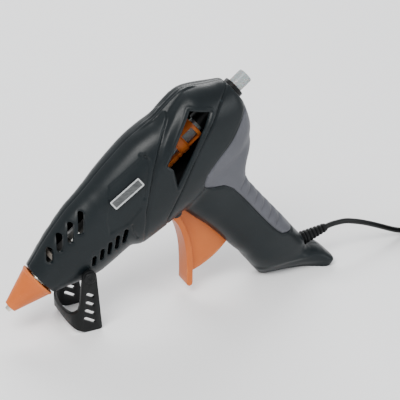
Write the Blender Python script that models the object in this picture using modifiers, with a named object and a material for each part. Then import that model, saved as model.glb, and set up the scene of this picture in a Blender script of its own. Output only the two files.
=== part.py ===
"""Corded hot-melt glue gun for 11 mm sticks, standing on its stirrup stand and its heel.

World frame: +Z up, nose towards -X, left side towards -Y, origin on the table under
the middle of the gun. Most pieces are drawn in the gun frame (u, y, w): u runs back
along the stick's axis from the nozzle's mouth, w is square to it, y is the world's Y.
Numbers in outlines and tables are millimetres; MM turns them into metres.
"""
import math

import bmesh
import bpy
from mathutils import Matrix, Vector

MM = 0.001
PITCH = math.radians(37.6)          # the stick's axis rises this much towards the back
NOZZLE = (-129.8, 22.5)             # nozzle mouth, world x and z
SPLIT = 0.15                        # each half shell stops this far from the middle plane
GAP = 0.3                           # clearance between neighbours

STICK_R = 5.6
STICK_ENDS = (64.0, 238.0)
WALL = 2.5                          # front shell wall
GRIP_T = 2.4                        # soft grip thickness
DEEP_WALL = 4.6                     # handle shell wall, which carries the grip in a pocket

TRIGGER_PIVOT = (133.0, -34.0)
TRIGGER_PIN_R = 2.0
WEB_R = 61.0                        # radius of the trigger web's lower edge
DRIVE_ARM = 20.0                    # pivot to drive pin
DRIVE_LEAN = math.radians(12.5)     # the arm leans back by this much at rest
CARRIAGE = (131.0, 172.0)
JAW_PIVOT = (169.0, 12.5)

STAND_PIVOT = (-75.1, 44.5)         # world x and z
STAND_Y = 19.8                      # middle of each leg
STAND_T = 2.4
PIVOT_R = 2.9

CORD_R = 2.2
EXIT = (110.2, 20.4)                # where the strain relief leaves the heel, world x and z
EXIT_RISE = math.radians(12.8)
RELIEF_LENGTH = 21.5
COIL_CENTRE = (221.0, -25.9)
COIL_RADII = (17.2, 26.0)
COIL_HEIGHT = 30.8
PLUG_X = 284.0
PLUG_Y = 6.0

# (u, top, bottom, half width, exponent) of the barrel's outside
BARREL = (
    (31, 13.9, -14.6, 14.2, 2.0),
    (40, 16.6, -18.6, 15.6, 2.1),
    (49, 19.6, -23.0, 16.8, 2.2),
    (58, 22.0, -27.0, 17.6, 2.3),
    (66, 23.9, -29.6, 18.1, 2.35),
    (80, 26.6, -30.6, 18.9, 2.4),
    (93, 27.6, -31.4, 19.6, 2.4),
    (97, 28.1, -34.5, 20.6, 2.4),
    (101, 28.5, -37.3, 21.4, 2.4),
    (112, 30.0, -38.6, 22.6, 2.5),
    (124, 31.3, -40.0, 23.6, 2.5),
    (144, 32.6, -42.0, 24.5, 2.5),
    (160, 31.0, -43.5, 25.0, 2.5),
    (168, 29.6, -44.0, 25.0, 2.5),
    (178, 30.2, -43.8, 25.0, 2.5),
    (188, 30.6, -43.0, 24.8, 2.5),
    (195, 30.2, -42.0, 24.2, 2.4),
    (201, 27.8, -41.0, 23.0, 2.3),
    (207, 24.0, -38.5, 21.2, 2.2),
    (212, 20.0, -35.0, 19.4, 2.2),
    (216, 17.0, -30.5, 17.6, 2.1),
    (220, 14.2, -22.0, 15.0, 2.0),
    (223, 11.6, -13.0, 11.8, 2.0),
)
# (front u, front w, back u, back w, front half width, back half width) of the handle
HANDLE = (
    (143, -22, 207, -22, 15.0, 15.0),
    (139, -36, 212, -36, 19.0, 18.0),
    (137.5, -43, 207, -43, 18.5, 17.5),
    (139, -50, 198, -50, 18.0, 17.0),
    (140.5, -58, 191, -58, 17.5, 16.5),
    (142.5, -68, 188.3, -68, 17.0, 16.5),
    (144.3, -84, 188.5, -84, 17.0, 16.5),
    (145.2, -100, 189, -100, 17.5, 17.0),
    (146.5, -112, 189.5, -116, 18.0, 17.5),
)
# The heel continues it: (front x, front z, back x, back z, half widths, flare), world. A
# flare of 1 widens evenly from front to back, a higher one only near the back.
HEEL = (
    (58.6, 17.5, 99.9, 35.0, 17.5, 17.5, 1),
    (62.1, 13.0, 107.6, 25.5, 16.5, 17.0, 1),
    (64.6, 9.5, 111.1, 16.5, 14.5, 16.5, 1),
    (66.6, 6.8, 124.6, 12.0, 12.5, 22.0, 4),
    (69.1, 3.6, 132.1, 5.5, 9.5, 28.0, 4),
    (72.1, 0.0, 128.6, 0.0, 5.0, 27.0, 4),
)
# Edge between the front shell and the handle shell, from the rear top to the trigger
SEAM = (
    (250, 10.9), (221, 10.6), (214, 10.6), (207, 9.9), (201.7, 8.4), (188, 3.8), (175.6, -1.4),
    (162, -8.0), (148.8, -15.2), (140, -19.8), (134, -23.2), (127, -27.4), (124, -31.2),
    (122.4, -38), (122.2, -70),
)
# Front edge of the soft grip, from the rear top down to the heel
GRIP_EDGE = (
    (228, -10.4), (217.9, -10.8), (210.5, -13.2), (196.5, -17.0), (180.7, -19.4), (168.4, -22.6),
    (161.6, -27.6), (160.4, -33.0), (164.2, -38.6), (171.4, -45.0), (174.6, -54.0), (175.9, -70.0),
    (176.3, -90.0), (177.0, -106.0), (179.3, -117.6), (186, -124.6), (196, -127.5),
)
WINDOW = ((189, 23.2), (199.2, 12.6), (146.5, -11.4), (152.4, 1.6), (151.2, 7.4))
UPPER_VENTS = ((48.6, 14.7, 10.6), (60.0, 17.0, 12.6), (70.3, 17.5, 14.6), (80.3, 18.0, 15.9))
LOWER_VENTS = ((67.4, -11.0, 8.7), (74.7, -11.6, 9.8), (81.6, -12.2, 10.8), (88.5, -12.8, 11.8),
               (95.5, -13.2, 12.8))
FRONT_SCREWS = ((108, 19.5), (107, -26), (199, 17.5))
HANDLE_SCREWS = ((153, -37), (160, -116), (159, -133))


# ---------------------------------------------------------------- scene and materials

for leftover in list(bpy.data.objects):
    bpy.data.objects.remove(leftover, do_unlink=True)

parts = bpy.data.collections.new("glue_gun")
cutters = bpy.data.collections.new("glue_gun_cutters")
bpy.context.scene.collection.children.link(parts)
bpy.context.scene.collection.children.link(cutters)


def material(name, colour, roughness, metallic=0.0):
    mat = bpy.data.materials.new(name)
    mat.use_nodes = True
    shader = mat.node_tree.nodes["Principled BSDF"]
    shader.inputs["Base Color"].default_value = (*colour, 1.0)
    shader.inputs["Roughness"].default_value = roughness
    shader.inputs["Metallic"].default_value = metallic
    return mat


CASING = material("casing", (0.022, 0.031, 0.036), 0.42)
GRIP = material("soft_grip", (0.17, 0.18, 0.20), 0.7)
ORANGE = material("orange", (0.62, 0.19, 0.055), 0.45)
BLACK = material("black_plastic", (0.012, 0.013, 0.014), 0.5)
STEEL = material("steel", (0.55, 0.55, 0.54), 0.35, 1.0)
BRASS = material("brass", (0.78, 0.57, 0.28), 0.3, 1.0)
ALLOY = material("alloy", (0.72, 0.72, 0.70), 0.45, 1.0)
CERAMIC = material("ceramic", (0.82, 0.80, 0.74), 0.6)
SILICONE = material("red_silicone", (0.45, 0.06, 0.04), 0.6)
GLUE = material("glue", (0.62, 0.65, 0.64), 0.25)
LABEL = material("label", (0.62, 0.63, 0.64), 0.4)

gun = bpy.data.objects.new("gun_frame", None)
gun.location = (NOZZLE[0] * MM, 0.0, NOZZLE[1] * MM)
gun.rotation_euler = (0.0, -PITCH, 0.0)
parts.objects.link(gun)


def to_gun(x, z):
    """World x and z to the gun frame's u and w."""
    dx = x - NOZZLE[0]
    dz = z - NOZZLE[1]
    return dx * math.cos(PITCH) + dz * math.sin(PITCH), dz * math.cos(PITCH) - dx * math.sin(PITCH)


# ---------------------------------------------------------------- shape helpers

def add(name, data, mat, at=(0, 0, 0), frame=gun, spin=(0, 0, 0), cutter=False):
    """Link an object at a place given in millimetres in its frame."""
    obj = bpy.data.objects.new(name, data)
    obj.location = Vector(at) * MM
    obj.rotation_euler = spin
    obj.parent = frame
    if mat is not None:
        data.materials.append(mat)
    if cutter:
        cutters.objects.link(obj)
        obj.hide_render = True
        obj.display_type = "WIRE"
    else:
        parts.objects.link(obj)
    return obj


def finish_mesh(name, bm, smooth=True):
    bmesh.ops.recalc_face_normals(bm, faces=bm.faces)
    mesh = bpy.data.meshes.new(name)
    bm.to_mesh(mesh)
    bm.free()
    if smooth:
        mesh.shade_smooth()
        mesh.set_sharp_from_angle(angle=math.radians(35))
    return mesh


def lofted(name, rings, **where):
    """A closed body through rings of points, all with the same count, in millimetres."""
    bm = bmesh.new()
    loops = [[bm.verts.new(Vector(p) * MM) for p in ring] for ring in rings]
    count = len(rings[0])
    for a, b in zip(loops, loops[1:]):
        for i in range(count):
            j = (i + 1) % count
            bm.faces.new((a[i], a[j], b[j], b[i]))
    bm.faces.new(loops[0])
    bm.faces.new(loops[-1])
    mat = where.pop("mat", None)
    return add(name, finish_mesh(name, bm), mat, **where)


def box(name, low, high, mat=None, **where):
    bm = bmesh.new()
    bmesh.ops.create_cube(bm, size=1.0)
    middle = (Vector(low) + Vector(high)) / 2 * MM
    size = (Vector(high) - Vector(low)) * MM
    bmesh.ops.transform(bm, matrix=Matrix.Translation(middle) @ Matrix.Diagonal((*size, 1)), verts=bm.verts)
    return add(name, finish_mesh(name, bm, False), mat, **where)


def rod(name, start, end, radius, mat=None, sides=20, **where):
    """A plain cylinder between two points in millimetres."""
    start = Vector(start)
    end = Vector(end)
    bm = bmesh.new()
    turn = (end - start).to_track_quat("Z", "Y").to_matrix().to_4x4()
    place = Matrix.Translation((start + end) / 2 * MM) @ turn
    bmesh.ops.create_cone(bm, cap_ends=True, segments=sides, radius1=radius * MM, radius2=radius * MM,
                          depth=(end - start).length * MM, matrix=place)
    return add(name, finish_mesh(name, bm), mat, **where)


def plate(name, outline, half_thickness, mat=None, middle=0.0, holes=(), **where):
    """An outline in (u, w), made a slab that lies square to y, as a welded mesh."""
    curve = bpy.data.curves.new(name, "CURVE")
    curve.dimensions = "2D"
    curve.fill_mode = "BOTH"
    curve.extrude = half_thickness * MM
    for loop in (outline, *holes):
        spline = curve.splines.new("POLY")
        spline.points.add(len(loop) - 1)
        for point, (a, b) in zip(spline.points, loop):
            point.co = (a * MM, b * MM, 0.0, 1.0)
        spline.use_cyclic_u = True
    drawn = bpy.data.objects.new(name + "_outline", curve)
    parts.objects.link(drawn)
    bpy.context.view_layer.update()
    graph = bpy.context.evaluated_depsgraph_get()
    mesh = bpy.data.meshes.new_from_object(drawn.evaluated_get(graph))
    bm = bmesh.new()
    bm.from_mesh(mesh)
    bmesh.ops.remove_doubles(bm, verts=bm.verts, dist=1e-6)
    upright = Matrix.Translation((0, middle * MM, 0)) @ Matrix.Rotation(math.radians(90), 4, "X")
    bmesh.ops.transform(bm, matrix=upright, verts=bm.verts)
    bpy.data.objects.remove(drawn, do_unlink=True)
    bpy.data.curves.remove(curve)
    bpy.data.meshes.remove(mesh)
    return add(name, finish_mesh(name, bm, False), mat, **where)


def turned(name, profile, mat, steps=24, closed=True, **where):
    """Profile of (radius, u) points turned about the stick's axis. It runs towards the nose
    on its outer side; a closed one bounds a ring, an open one starts and ends on the axis."""
    bm = bmesh.new()
    verts = [bm.verts.new((r * MM, 0.0, u * MM)) for r, u in profile]
    for a, b in zip(verts, verts[1:]):
        bm.edges.new((a, b))
    if closed:
        bm.edges.new((verts[-1], verts[0]))
    mesh = bpy.data.meshes.new(name)
    bm.to_mesh(mesh)
    bm.free()
    where.setdefault("spin", (0.0, math.radians(90), 0.0))
    obj = add(name, mesh, mat, **where)
    screw = obj.modifiers.new("turn", "SCREW")
    screw.steps = steps
    screw.render_steps = steps
    screw.use_merge_vertices = True
    screw.merge_threshold = 1e-6
    screw.use_smooth_shade = True
    return obj


def tube(name, points, radius, mat, resolution=2, frame=gun):
    """A wire or cord along points in millimetres."""
    curve = bpy.data.curves.new(name, "CURVE")
    curve.dimensions = "3D"
    curve.bevel_depth = radius * MM
    curve.bevel_resolution = resolution
    curve.use_fill_caps = True
    spline = curve.splines.new("POLY")
    spline.points.add(len(points) - 1)
    for point, place in zip(spline.points, points):
        point.co = (*(Vector(place) * MM), 1.0)
    return add(name, curve, mat, frame=frame)


def boolean(obj, cutter, operation="DIFFERENCE"):
    mod = obj.modifiers.new(cutter.name, "BOOLEAN")
    mod.operation = operation
    mod.object = cutter
    return obj


def baked(obj, name):
    """The evaluated shape of obj, without its modifiers, in the gun frame."""
    bpy.context.view_layer.update()
    graph = bpy.context.evaluated_depsgraph_get()
    mesh = bpy.data.meshes.new_from_object(obj.evaluated_get(graph))
    mesh.name = name
    return mesh


def smooth_path(points, spacing):
    """Points about every spacing along a Catmull-Rom curve through the given ones."""
    knots = [Vector(p) for p in points]
    knots = [2 * knots[0] - knots[1], *knots, 2 * knots[-1] - knots[-2]]
    path = []
    for i in range(1, len(knots) - 2):
        p0, p1, p2, p3 = knots[i - 1:i + 3]
        pieces = max(1, round((p2 - p1).length / spacing))
        for k in range(pieces):
            t = k / pieces
            path.append(0.5 * (2 * p1 + (p2 - p0) * t + (2 * p0 - 5 * p1 + 4 * p2 - p3) * t * t
                               + (3 * p1 - p0 - 3 * p2 + p3) * t ** 3))
    path.append(knots[-2])
    return path


def offset(points, distance):
    """An open run of points moved sideways, to the left of its direction."""
    moved = []
    for i, (a, b) in enumerate(points):
        before = Vector(points[max(i - 1, 0)])
        after = Vector(points[min(i + 1, len(points) - 1)])
        along = (after - before).normalized()
        moved.append((a - along.y * distance, b + along.x * distance))
    return moved


def signed_power(value, power):
    return math.copysign(abs(value) ** power, value)


def arc(cu, cw, radius, start, end, pieces):
    """Points on a circle, angles in degrees."""
    angles = [math.radians(start + (end - start) * i / pieces) for i in range(pieces + 1)]
    return [(cu + radius * math.cos(a), cw + radius * math.sin(a)) for a in angles]


def slot_outline(cu, cw, length, width, degrees):
    """A slot with round ends, its long side turned by degrees from u."""
    r = width / 2
    half = length / 2 - r
    along = Vector((math.cos(math.radians(degrees)), math.sin(math.radians(degrees))))
    head = Vector((cu, cw)) + along * half
    tail = Vector((cu, cw)) - along * half
    return arc(*head, r, degrees - 90, degrees + 90, 5) + arc(*tail, r, degrees + 90, degrees + 270, 5)


# ---------------------------------------------------------------- outer forms

def barrel_form(name, inset, sides, open_nose=False, open_end=False):
    rings = []
    for u, top, bottom, half, power in BARREL:
        if u == BARREL[-1][0]:
            u -= inset
        middle = (top + bottom) / 2
        height = (top - bottom) / 2 - inset
        ring = []
        for i in range(sides):
            a = 2 * math.pi * (i + 0.5) / sides
            y = (half - inset) * signed_power(math.cos(a), 2 / power)
            w = middle + height * signed_power(math.sin(a), 2 / power)
            ring.append((u, y, w))
        rings.append(ring)
    if open_nose:
        rings.insert(0, [(u - 12, y, w) for u, y, w in rings[0]])
    return lofted(name, rings, cutter=True)


def handle_form(name, inset, sides, last):
    rows = [(*row, 1) for row in HANDLE]
    for xf, zf, xb, zb, front, back, flare in HEEL:
        rows.append((*to_gun(xf, zf), *to_gun(xb, zb), front, back, flare))
    rings = []
    for uf, wf, ub, wb, front, back, flare in rows[:last]:
        power = 2 / 2.5 if flare == 1 else 2 / 3.5
        near = Vector((uf, wf))
        far = Vector((ub, wb))
        along = (far - near).normalized()
        near = near + along * inset
        far = far - along * inset
        ring = []
        for i in range(sides):
            a = 2 * math.pi * (i + 0.5) / sides
            t = 0.5 - 0.5 * signed_power(math.cos(a), power)
            half = front + (back - front) * t ** flare - inset
            u, w = near.lerp(far, t)
            ring.append((u, half * signed_power(math.sin(a), power), w))
        rings.append(ring)
    return lofted(name, rings, cutter=True)


def skin_y(u, w):
    """Half width of the barrel's outside at (u, w)."""
    for a, b in zip(BARREL, BARREL[1:]):
        if a[0] <= u <= b[0]:
            t = (u - a[0]) / (b[0] - a[0])
            top, bottom, half, power = (p + (q - p) * t for p, q in zip(a[1:], b[1:]))
            rise = abs((w - (top + bottom) / 2) / ((top - bottom) / 2))
            return half * (1 - rise ** power) ** (1 / power)
    raise ValueError("outside the barrel")


outer_barrel = barrel_form("outer_barrel", 0.0, 24)
inner_barrel = barrel_form("inner_barrel", WALL, 14, open_nose=True)
floor_barrel = barrel_form("floor_barrel", GRIP_T + GAP, 18)
deep_barrel = barrel_form("deep_barrel", DEEP_WALL, 14, open_nose=True)
WHOLE = len(HANDLE) + len(HEEL)
outer_handle = handle_form("outer_handle", 0.0, 24, WHOLE)
floor_handle = handle_form("floor_handle", GRIP_T + GAP, 18, WHOLE - 1)
back_handle = handle_form("grip_floor_handle", GRIP_T, 18, WHOLE - 1)
back_barrel = barrel_form("grip_floor_barrel", GRIP_T, 18)
deep_handle = handle_form("deep_handle", DEEP_WALL, 14, WHOLE - 2)

front_region = plate("front_region", [(10, 80), (10, -70)] + list(SEAM[::-1]) + [(250, 80)], 60,
                     cutter=True)
rear_seam = offset(SEAM, GAP)
rear_region = plate("rear_region", list(rear_seam) + [(rear_seam[-1][0], -260), (300, -260)], 60,
                    cutter=True)
pocket_region = plate("pocket_region", list(GRIP_EDGE) + [(260, -127.5), (260, -10.4)], 60, cutter=True)
grip_region = plate("grip_region", offset(GRIP_EDGE, GAP) + [(255, -127.0), (255, -10.7)], 60, cutter=True)
left_half = box("left_half", (-50, -60, -260), (320, -SPLIT, 120), cutter=True)
right_half = box("right_half", (-50, SPLIT, -260), (320, 60, 120), cutter=True)


# ---------------------------------------------------------------- shells

def screw_cutters(name, u, w, edge):
    """Hole for a housing screw: a shank bore through both halves and a well for its head."""
    bore = rod(name + "_bore", (u, -9, w), (u, 60, w), 1.8, sides=12, cutter=True)
    well = rod(name + "_well", (u, edge - 3.2, w), (u, 60, w), 3.4, sides=16, cutter=True)
    return bore, well


def housing_screw(name, u, w, edge):
    """Pan-head screw along y with its head in the right shell's well."""
    bm = bmesh.new()
    profile = ((0.0, edge - 1.0), (2.4, edge - 1.0), (3.0, edge - 1.7), (3.0, edge - 2.9),
               (1.45, edge - 2.9), (1.45, -7.0), (0.0, -7.6))
    verts = [bm.verts.new((r * MM, 0.0, y * MM)) for r, y in profile]
    for a, b in zip(verts, verts[1:]):
        bm.edges.new((a, b))
    mesh = bpy.data.meshes.new(name)
    bm.to_mesh(mesh)
    bm.free()
    obj = add(name, mesh, STEEL, at=(u, 0, w), spin=(math.radians(-90), 0, 0))
    screw = obj.modifiers.new("turn", "SCREW")
    screw.steps = 14
    screw.render_steps = 14
    screw.use_merge_vertices = True
    screw.merge_threshold = 1e-6
    screw.use_smooth_shade = True


def handle_skin(u, w):
    """Half width of the handle's outside at a screw's place, close enough for its well."""
    return 17.3 if w < -60 else skin_y(u, w)


screws = [(f"front_screw_{i + 1}", u, w, skin_y(u, w)) for i, (u, w) in enumerate(FRONT_SCREWS)]
screws += [(f"handle_screw_{i + 1}", u, w, handle_skin(u, w)) for i, (u, w) in enumerate(HANDLE_SCREWS)]
screw_tools = {}
for name, u, w, edge in screws:
    screw_tools[name] = screw_cutters(name, u, w, edge)
    housing_screw(name, u, w, edge)

VENT_LEAN_UPPER = 42
VENT_LEAN_LOWER = 47
vent_cutters = [plate(f"upper_vent_{i}", slot_outline(u, w, length, 4.2, VENT_LEAN_UPPER), 60, cutter=True)
                for i, (u, w, length) in enumerate(UPPER_VENTS)]
vent_cutters += [plate(f"lower_vent_{i}", slot_outline(u, w, length, 3.3, VENT_LEAN_LOWER), 60, cutter=True)
                 for i, (u, w, length) in enumerate(LOWER_VENTS)]
window_cutter = plate("window_cutter", WINDOW, 60, cutter=True)
stand_u, stand_w = to_gun(*STAND_PIVOT)
pivot_cutter = rod("pivot_cutter", (stand_u, -60, stand_w), (stand_u, 60, stand_w), PIVOT_R + GAP,
                   sides=20, cutter=True)
COLLAR_R = 8.2
collar_cutter = rod("collar_cutter", (210, 0, 0), (240, 0, 0), COLLAR_R + GAP, sides=28, cutter=True)
relief_dir = Vector((math.cos(EXIT_RISE - PITCH), 0, math.sin(EXIT_RISE - PITCH)))
exit_u, exit_w = to_gun(*EXIT)
exit_point = Vector((exit_u, 0, exit_w))
relief_cutter = rod("relief_cutter", exit_point - relief_dir * 16, exit_point + relief_dir * 30, 4.6,
                    sides=20, cutter=True)
relief_seat = rod("relief_seat", exit_point + relief_dir * 0.2, exit_point + relief_dir * 20, 6.0,
                  sides=20, cutter=True)
web_cutter = plate("web_cutter", [(136, -30), (162, -30), (160, -97.5), (136, -97.5)], 3.9, cutter=True)
blade_cutter = box("blade_cutter", (120, -10.0, -60), (138.5, 10.0, -29), cutter=True)


def boss(name, u, w, side, reach, radius=3.6, start=SPLIT):
    return rod(name, (u, side * start, w), (u, side * reach, w), radius, sides=16, cutter=True)


def front_shell(name, side, half):
    obj = add(name, outer_barrel.data.copy(), CASING)
    boolean(obj, inner_barrel)
    for index, (u, w) in enumerate(FRONT_SCREWS):
        boolean(obj, boss(f"{name}_boss_{index}", u, w, side, skin_y(u, w) - 1.2), "UNION")
    boolean(obj, front_region, "INTERSECT")
    boolean(obj, half, "INTERSECT")
    boolean(obj, collar_cutter)
    boolean(obj, window_cutter)
    boolean(obj, pivot_cutter)
    for cutter in vent_cutters:
        boolean(obj, cutter)
    for index in range(len(FRONT_SCREWS)):
        bore, well = screw_tools[f"front_screw_{index + 1}"]
        boolean(obj, bore)
        if side > 0:
            boolean(obj, well)


union = add("whole_form", outer_handle.data.copy(), None, cutter=True)
boolean(union, outer_barrel, "UNION")
whole_mesh = baked(union, "whole_form")

pocket = add("grip_pocket", pocket_region.data.copy(), None, cutter=True)
boolean(pocket, floor_barrel)
boolean(pocket, floor_handle)
pivot_u, pivot_w = TRIGGER_PIVOT
trigger_bore = rod("trigger_bore", (pivot_u, -14, pivot_w), (pivot_u, 14, pivot_w),
                   TRIGGER_PIN_R + GAP, sides=16, cutter=True)


def handle_shell(name, side, half):
    obj = add(name, whole_mesh.copy(), CASING)
    boolean(obj, deep_barrel)
    boolean(obj, deep_handle)
    boolean(obj, pocket)
    boolean(obj, boss(name + "_pivot_boss", pivot_u, pivot_w, side, 14.4, 4.4, 5.4), "UNION")
    for index, (u, w) in enumerate(HANDLE_SCREWS):
        boolean(obj, boss(f"{name}_boss_{index}", u, w, side, 15.8), "UNION")
    boolean(obj, rear_region, "INTERSECT")
    boolean(obj, half, "INTERSECT")
    for cutter in (collar_cutter, relief_cutter, relief_seat, web_cutter, blade_cutter):
        boolean(obj, cutter)
    boolean(obj, boss(name + "_pivot_ear", pivot_u, pivot_w, side, 14.4, 4.4, 10.6), "UNION")
    boolean(obj, trigger_bore)
    for index in range(len(HANDLE_SCREWS)):
        bore, well = screw_tools[f"handle_screw_{index + 1}"]
        boolean(obj, bore)
        if side > 0:
            boolean(obj, well)


front_shell("front_shell_left", -1, left_half)
front_shell("front_shell_right", 1, right_half)
handle_shell("handle_shell_left", -1, left_half)
handle_shell("handle_shell_right", 1, right_half)


def soft_grip():
    obj = add("soft_grip", whole_mesh.copy(), GRIP)
    boolean(obj, grip_region, "INTERSECT")
    boolean(obj, back_barrel)
    boolean(obj, back_handle)


soft_grip()


# ---------------------------------------------------------------- hot end

def nozzle():
    turned("nozzle_tip", ((2.1, -1.2), (1.0, -1.2), (1.0, 12.0), (2.6, 16.0), (2.6, 40.0), (4.2, 40.0),
                          (4.2, 31.0), (6.4, 31.0), (6.4, 22.0), (3.0, 4.0)), BRASS)
    turned("nozzle_sleeve", ((3.5, 1.6), (3.3, 2.4), (6.8, 21.6), (6.8, 26.0), (11.4, 27.0), (11.4, 29.6),
                             (13.9, 29.6), (14.0, 28.6), (4.5, 1.8)), ORANGE, steps=28)


def melt_chamber():
    turned("melt_chamber", ((4.5, 31.6), (4.5, 40.4), (6.4, 43.0), (6.4, 99.0), (8.2, 99.0), (8.2, 33.4),
                            (7.2, 31.6)), ALLOY)
    for name, u, radius in (("chamber_holder_front", 47.0, 13.4), ("chamber_holder_rear", 91.0, 16.0)):
        turned(name, ((8.5, u), (8.5, u + 3.0), (radius, u + 3.0), (radius, u)), CERAMIC)
    turned("inlet_sleeve", ((6.2, 99.4), (6.2, 109.0), (9.0, 109.0), (9.0, 104.0), (10.8, 104.0),
                            (10.8, 94.6), (8.5, 94.6), (8.5, 99.4)), SILICONE)


def heater():
    box("heater_element", (54, -4.6, -14.6), (86, 4.6, -9.4), CERAMIC)
    outer = [(-11.0, 3.0)] + arc(0, 0, 9.6, 160, 20, 8) + [(11.0, 3.0), (8.0, -16.0), (-8.0, -16.0)]
    inner = arc(0, 0, 8.5, 165, 15, 8) + [(8.8, -1.0), (6.2, -14.9), (-6.2, -14.9), (-8.8, -1.0)]
    plate("heater_clip", outer, 4.0, STEEL, holes=[inner], at=(70, 0, 0), spin=(0, 0, math.radians(90)))


nozzle()
melt_chamber()
heater()


# ---------------------------------------------------------------- feed mechanism

def collar():
    turned("stick_collar", ((6.1, 213.0), (6.1, 225.0), (6.9, 226.4), (8.2, 226.4), (8.2, 213.0)), BLACK)


def glue_stick():
    u0, u1 = STICK_ENDS
    turned("glue_stick", ((0.0, u0), (4.6, u0), (STICK_R, u0 + 1.0), (STICK_R, u1 - 0.4),
                          (STICK_R - 0.4, u1), (0.0, u1))[::-1], GLUE, closed=False)


drive_u = pivot_u + DRIVE_ARM * math.sin(DRIVE_LEAN)
drive_w = pivot_w + DRIVE_ARM * math.cos(DRIVE_LEAN)


def feed_carriage():
    u0, u1 = CARRIAGE
    sleeve = turned("feed_carriage", ((6.3, u0), (6.3, u1), (9.5, u1), (9.5, u0)), ORANGE)
    opening = box("carriage_opening", (u0 + 13, -12, -1.5), (u1 - 7, 12, 12), cutter=True)
    boolean(sleeve, opening)
    for side in (-1, 1):
        low, high = sorted((side * 3.7, side * 6.5))
        cheek = box(f"carriage_cheek_{side}", (drive_u - 5, low, drive_w - 5), (drive_u + 8, high, -6.9),
                    cutter=True)
        ear = box(f"carriage_ear_{side}", (u1 - 6.4, low, 7.2), (u1 - 0.2, high, 15.6), cutter=True)
        boolean(sleeve, cheek, "UNION")
        boolean(sleeve, ear, "UNION")
    slot = plate("drive_slot", slot_outline(drive_u, drive_w + 0.25, 4.6, 3.6, 90), 12, cutter=True)
    pin = rod("jaw_pin_bore", (JAW_PIVOT[0], -12, JAW_PIVOT[1]), (JAW_PIVOT[0], 12, JAW_PIVOT[1]), 1.3,
              sides=12, cutter=True)
    boolean(sleeve, slot)
    boolean(sleeve, pin)
    rod("jaw_pin", (JAW_PIVOT[0], -6.6, JAW_PIVOT[1]), (JAW_PIVOT[0], 6.6, JAW_PIVOT[1]), 1.0, STEEL,
        sides=12)


def grip_jaw():
    """Toothed lever on the carriage's ears. Its tooth stands just over the stick at rest."""
    u, w = JAW_PIVOT
    outline = arc(0, 0, 2.9, -60, 120, 6) + [(-6, 1.6), (-12.5, -1.4), (-13.4, -5.8), (-11.6, -6.2),
                                            (-10.2, -4.4), (-5.0, -2.8)]
    jaw = plate("grip_jaw", outline, 3.2, STEEL, at=(u, 0, w))
    bore = rod("jaw_bore", (u, -6, w), (u, 6, w), 1.3, sides=12, cutter=True)
    boolean(jaw, bore)


SPRING_TURNS = 6
SPRING_R = 8.0


def return_spring():
    start = 110.2
    end = CARRIAGE[0] - 1.2
    steps = SPRING_TURNS * 12
    points = []
    for i in range(steps + 1):
        a = 2 * math.pi * SPRING_TURNS * i / steps
        u = start + (end - start) * i / steps
        points.append((u, SPRING_R * math.cos(a), SPRING_R * math.sin(a)))
    tube("return_spring", points, 0.55, STEEL, resolution=1)


collar()
glue_stick()
feed_carriage()
grip_jaw()
return_spring()


# ---------------------------------------------------------------- trigger

def trigger():
    """Finger blade, web and drive arm, drawn about the pivot."""
    def rel(points):
        return [(a - pivot_u, b - pivot_w) for a, b in points]

    rim = arc(pivot_u, pivot_w, WEB_R, -115, -76, 8)
    web = rel([(130.5, -38), (129.8, -48), (126.6, -58), (121.8, -69), (114.8, -80)]) + rel(rim)
    web += rel([(139.4, -37)]) + [(drive_u - pivot_u + 2.9, drive_w - pivot_w - 0.6)]
    web += [(a + drive_u - pivot_u, b + drive_w - pivot_w) for a, b in arc(0, 0, 2.9, 20, 170, 5)]
    body = plate("trigger", web, 3.4, ORANGE, at=(pivot_u, 0, pivot_w))
    hub = rod("trigger_hub", (pivot_u, -4.9, pivot_w), (pivot_u, 4.9, pivot_w), 5.2, cutter=True)
    front = [(128.0, -40.0), (127.4, -49.0), (124.2, -59.0), (119.2, -69.2), (111.8, -80.1), (104.6, -89.6)]
    end = [(101.0, -94.4), (101.0, -96.4), (102.6, -97.6), (105.0, -96.6)]
    back = [(111.6, -88.4), (117.0, -81.4), (121.4, -75.0), (126.2, -65.6), (130.2, -55.0), (133.0, -43.0)]
    blade = plate("trigger_blade", front + end + back, 7.5, cutter=True)
    bevel = blade.modifiers.new("round", "BEVEL")
    bevel.width = 2.0 * MM
    bevel.segments = 2
    boolean(body, blade, "UNION")
    boolean(body, hub, "UNION")
    boolean(body, rod("trigger_eye", (pivot_u, -12, pivot_w), (pivot_u, 12, pivot_w),
                      TRIGGER_PIN_R + GAP, sides=20, cutter=True))
    boolean(body, rod("drive_eye", (drive_u, -12, drive_w), (drive_u, 12, drive_w), 1.8,
                      sides=16, cutter=True))
    rod("trigger_pin", (pivot_u, -13.2, pivot_w), (pivot_u, 13.2, pivot_w), TRIGGER_PIN_R, STEEL, sides=16)
    rod("drive_pin", (drive_u, -7.4, drive_w), (drive_u, 7.4, drive_w), 1.5, STEEL, sides=16)


trigger()


# ---------------------------------------------------------------- stand

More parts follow.
